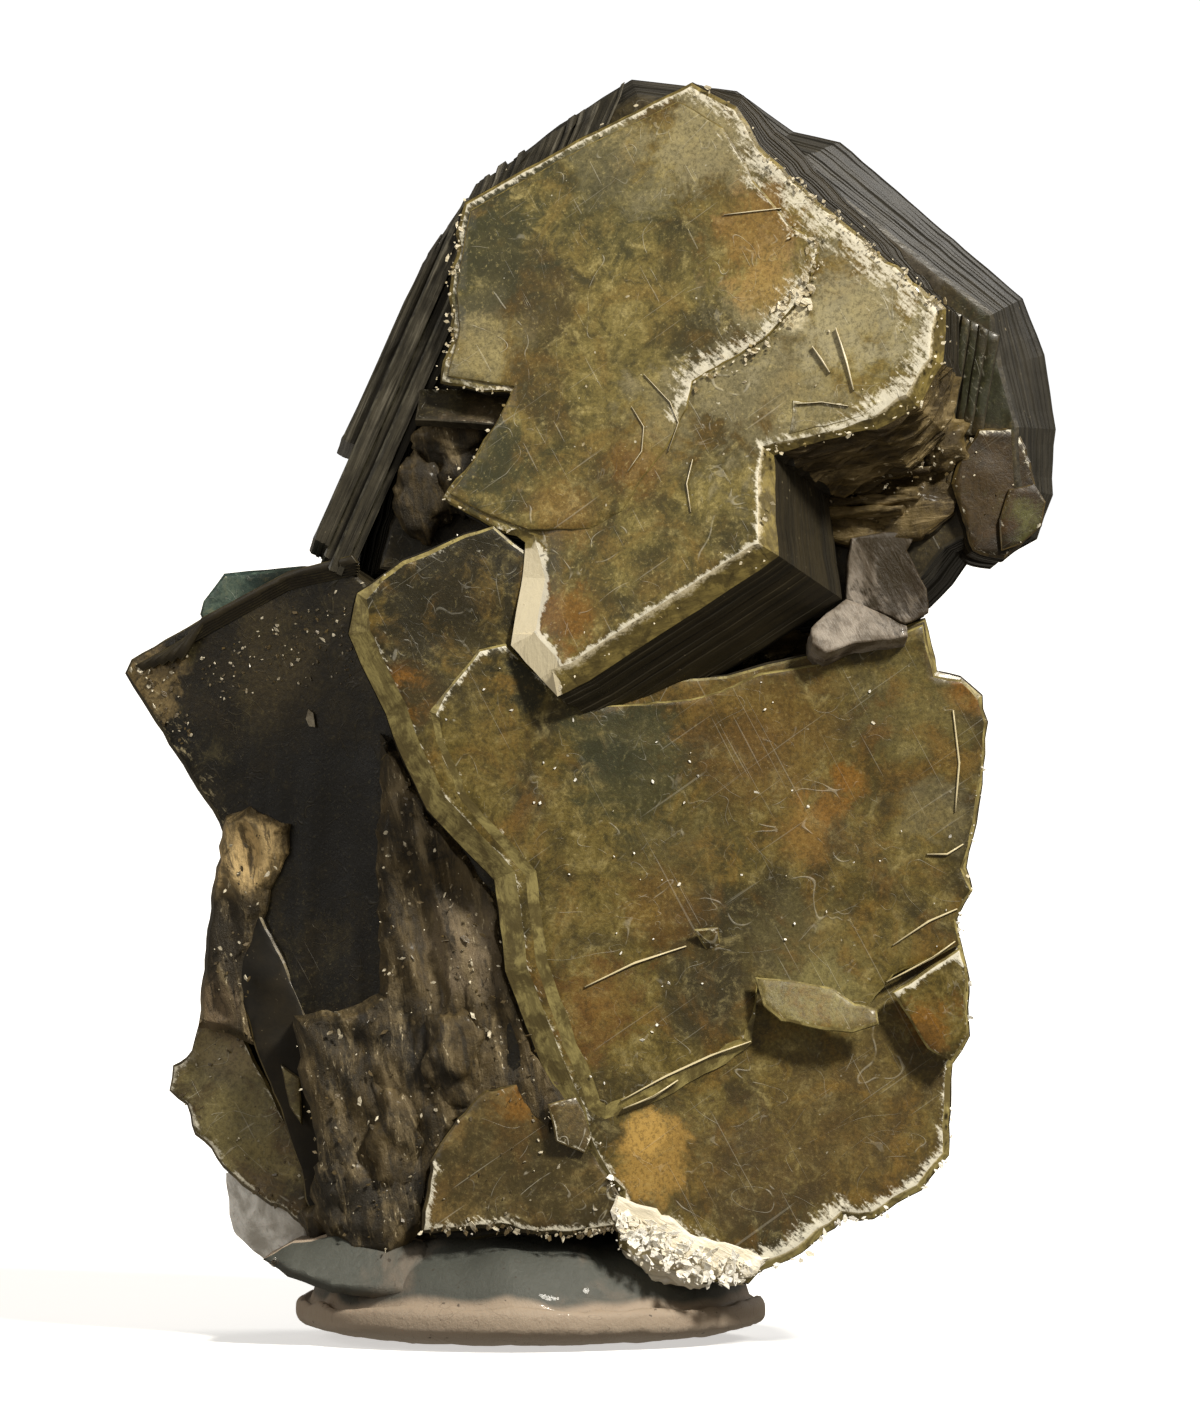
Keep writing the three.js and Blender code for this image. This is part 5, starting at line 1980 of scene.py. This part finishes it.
    def press(
        self, vert: bmesh.types.BMVert, mould: Mould, middle: Vector, half: Vector, floor: float
    ) -> None:
        """Moves one point of a ball to where the pressed putty has it.

        Args:
            vert: the point.
            mould: the putty's mould.
            middle: the pad's middle.
            half: half its size.
            floor: the height of what it stands on.
        """
        unit = vert.co.copy()
        around = math.atan2(unit.y, unit.x)
        flat = math.hypot(unit.x, unit.y)
        lip = 1.0 + 0.02 * math.sin(3 * around + 0.8) + 0.012 * math.sin(7 * around)
        place = Vector((middle.x + unit.x * half.x * lip, middle.y + unit.y * half.y * lip, 0.0))
        edge = math.copysign(abs(unit.z) ** 0.6, unit.z)
        upper = max(0.0, unit.z)
        wedge = self.mound * max(0.0, 1.0 - (flat / self.crease_at) ** 6) * (upper > 0)
        crease = self.crease * math.exp(-(((flat - self.crease_at) / 0.02) ** 2)) * (upper > 0)
        fold = noise.noise(Vector((place.x * 0.16, place.y * 0.5, 4.0))) * 0.5
        fine = noise.fractal(place * 0.4, 0.8, 2.0, 4) * 0.14
        ripple = 0.1 * math.sin(place.x * 1.6 + place.y * 0.9 + 2.0 * fold) * (upper > 0.2)
        folds = (fold + ripple) * min(1.0, 3 * upper)
        place.z = self.level + self.bulge * edge + wedge - crease + folds + fine
        place.z = max(floor, place.z)
        vert.co = place
        # The wedge's wear marks the putty's painted shade, the cluster's shadow on its top.
        vert[mould.wear] = max(0.0, min(1.0, wedge / 0.6))


# ---- the studio ----


class Lamp(Enum):
    """The lights, as (place in mm, size in mm, watts, colour)."""

    SHEEN = ((360.0, 260.0, 420.0), 320.0, 1.6, (1.0, 0.97, 0.92))
    LEFT = ((-460.0, -260.0, 260.0), 300.0, 0.7, (1.0, 0.97, 0.92))


@dataclass
class Studio:
    """The camera, lights, floor and backdrop."""

    scene: bpy.types.Scene
    lens: float = 300.0
    sensor: float = 36.0
    framed: float = 70.45
    aim: Corner = (2.75, 31.77)
    lift: float = 1.0
    sun_turn: tuple[float, float] = (40.0, 42.0)
    sun: float = 4.4
    fill: float = 0.24
    backdrop: float = 1.05
    sun_spread: float = 9.0
    sun_tint: Colour = (1.0, 0.95, 0.85)
    fill_tint: Colour = (1.0, 0.9, 0.74)
    lit: Triple = (2.0, 0.0, 32.0)
    ground: float = 12.0

    def build(self) -> None:
        """Sets up everything round the object."""
        self.scene.view_settings.view_transform = "Standard"
        self.scene.view_settings.look = "None"
        self.camera()
        self.sky()
        self.sunlight()
        for lamp in Lamp:
            self.softbox(lamp)
        self.floor()

    def camera(self) -> None:
        """Sets the camera level with the cluster's middle, in front of its display side."""
        low, high = CAD_BOX
        middle = (low + high) / 2
        aim = Vector((self.aim[0] * MM, middle.y, self.aim[1] * MM))
        away = self.lens * self.framed / self.sensor * MM
        rise = math.radians(self.lift)
        data = bpy.data.cameras.new("camera")
        data.lens = self.lens
        data.sensor_width = self.sensor
        data.sensor_fit = "AUTO"
        data.clip_start = 0.01
        data.clip_end = 100.0
        camera = bpy.data.objects.new("camera", data)
        camera.location = aim + Vector((0.0, -math.cos(rise), math.sin(rise))) * away
        camera.rotation_euler = (math.pi / 2 - rise, 0.0, 0.0)
        self.scene.collection.objects.link(camera)
        self.scene.camera = camera

    def sky(self) -> None:
        """A white backdrop that lights the object only softly."""
        world = bpy.data.worlds.new("backdrop")
        world.use_nodes = True
        g = Nodes(world.node_tree)
        path = g.node("ShaderNodeLightPath").outputs["Is Camera Ray"]
        tint = {"Color": self.fill_tint, "Strength": self.fill}
        glow = g.node("ShaderNodeBackground", None, tint).outputs[0]
        tint = {"Color": (1.0, 1.0, 1.0), "Strength": self.backdrop}
        white = g.node("ShaderNodeBackground", None, tint).outputs[0]
        mixed = g.node("ShaderNodeMixShader", None, {0: path, 1: glow, 2: white}).outputs[0]
        g.node("ShaderNodeOutputWorld", None, {0: mixed})
        self.scene.world = world

    def sunlight(self) -> None:
        """The main light, from the upper right in front."""
        data = bpy.data.lights.new("key", "SUN")
        data.energy = self.sun
        data.angle = math.radians(self.sun_spread)
        data.color = self.sun_tint
        lamp = bpy.data.objects.new("key", data)
        turn, rise = (math.radians(a) for a in self.sun_turn)
        level = Vector((math.sin(turn), -math.cos(turn), 0.0)) * math.cos(rise)
        source = level + Vector((0.0, 0.0, math.sin(rise)))
        lamp.rotation_euler = source.to_track_quat("Z", "Y").to_euler()
        self.scene.collection.objects.link(lamp)

    def softbox(self, lamp: Lamp) -> None:
        """Adds one large soft lamp aimed at the cluster.

        Args:
            lamp: which lamp.
        """
        place, size, watts, colour = lamp.value
        data = bpy.data.lights.new(lamp.name.lower(), "AREA")
        data.size = size * MM
        data.energy = watts
        data.color = colour
        light = bpy.data.objects.new(lamp.name.lower(), data)
        light.location = Vector(place) * MM
        away = light.location - Vector(self.lit) * MM
        light.rotation_euler = away.to_track_quat("Z", "Y").to_euler()
        self.scene.collection.objects.link(light)

    def floor(self) -> None:
        """A plain pale floor, level with the putty's base."""
        bm = bmesh.new()
        bmesh.ops.create_circle(bm, cap_ends=True, segments=96, radius=self.ground)
        mesh = bpy.data.meshes.new("floor")
        bm.to_mesh(mesh)
        bm.free()
        g = Graph("floor")
        glow = {"Emission_Color": (1.0, 1.0, 1.0), "Emission_Strength": 0.5}
        pale = g.end(Base_Color=(0.9, 0.9, 0.9), Roughness=1.0, Specular_IOR_Level=0.0, **glow)
        mesh.materials.append(pale)
        floor = bpy.data.objects.new("floor", mesh)
        floor.visible_diffuse = False
        floor.visible_glossy = False
        self.scene.collection.objects.link(floor)


# ---- the object ----


def main() -> None:
    """Builds the studio and every piece, and ties each to the frame."""
    logging.basicConfig(level=logging.INFO, format="%(name)s: %(message)s")
    Studio(bpy.context.scene).build()
    shards = Shards("shards", brown=linear(150, 132, 88)).make()
    brown = Shards("brown_shards", brown=linear(84, 70, 42), pallor=0.4).make()
    streaks = (
        Stain((-4.2, 19.5), 2.6, linear(150, 132, 104), 0.5),
        # The bright gold stain at (-14.6, 24.5) is a painted pool of light, a spot that catches the key
        # light.
        Stain((-14.6, 24.5), 2.2, linear(216, 186, 130), 0.95),
        Stain((-16.8, 16.6), 1.5, linear(150, 128, 98), 0.5),
        Stain((-15.6, 20.2), 2.2, linear(44, 36, 20), 0.8),
    )
    broken = Broken("broken", stains=streaks).make()
    ledges = (linear(58, 46, 22), linear(104, 87, 48), linear(168, 148, 106))
    layered = Broken("layered", *ledges, painted_glints=0.9, turn=96.0).make()
    frayed = Shards("frayed", linear(253, 251, 244), linear(226, 217, 194), 0.85).make()
    triangles: dict[str, int] = {}
    mica = ("mica", "mica_cluster")
    for book, flakes, rugged in (
        (UpperBook(), shards, layered), (CrownBook(), shards, broken), (BladeBook(), shards, broken),
        (LowerBook(), frayed, broken), (LeftBook(), brown, broken), (Roots(), brown, broken),
        (RightRecess(), brown, layered),
    ):
        mould = book.build()
        if mould.loose:
            fit(mould.finish_flakes(flakes), triangles, *mica)
        skins = (book.face.make(), book.side.make(), book.rim.make(), flakes, rugged)
        fit(mould.finish(skins), triangles, *mica)
    back = BackBooks()
    skins = (back.face.make(), back.side.make(), back.rim.make())
    fit(back.build_rear().finish(skins), triangles, *mica)
    skins = (back.teal_face.make(), back.teal_side.make(), back.teal_rim.make())
    fit(back.build_teal().finish(skins), triangles, *mica)
    holder = Holder()
    grain = holder.feldspar_grain().finish((holder.feldspar.make(),))
    fit(grain, triangles, "feldspar", "feldspar_chip")
    fit(holder.quartz_grain().finish((holder.quartz.make(),)), triangles, "quartz", "quartz_chip")
    fit(holder.pad().finish((holder.putty.make(),)), triangles, "putty", "mounting_putty")
    log.info("whole object: %d triangles", sum(triangles.values()))


if __name__ == "__main__":
    main()
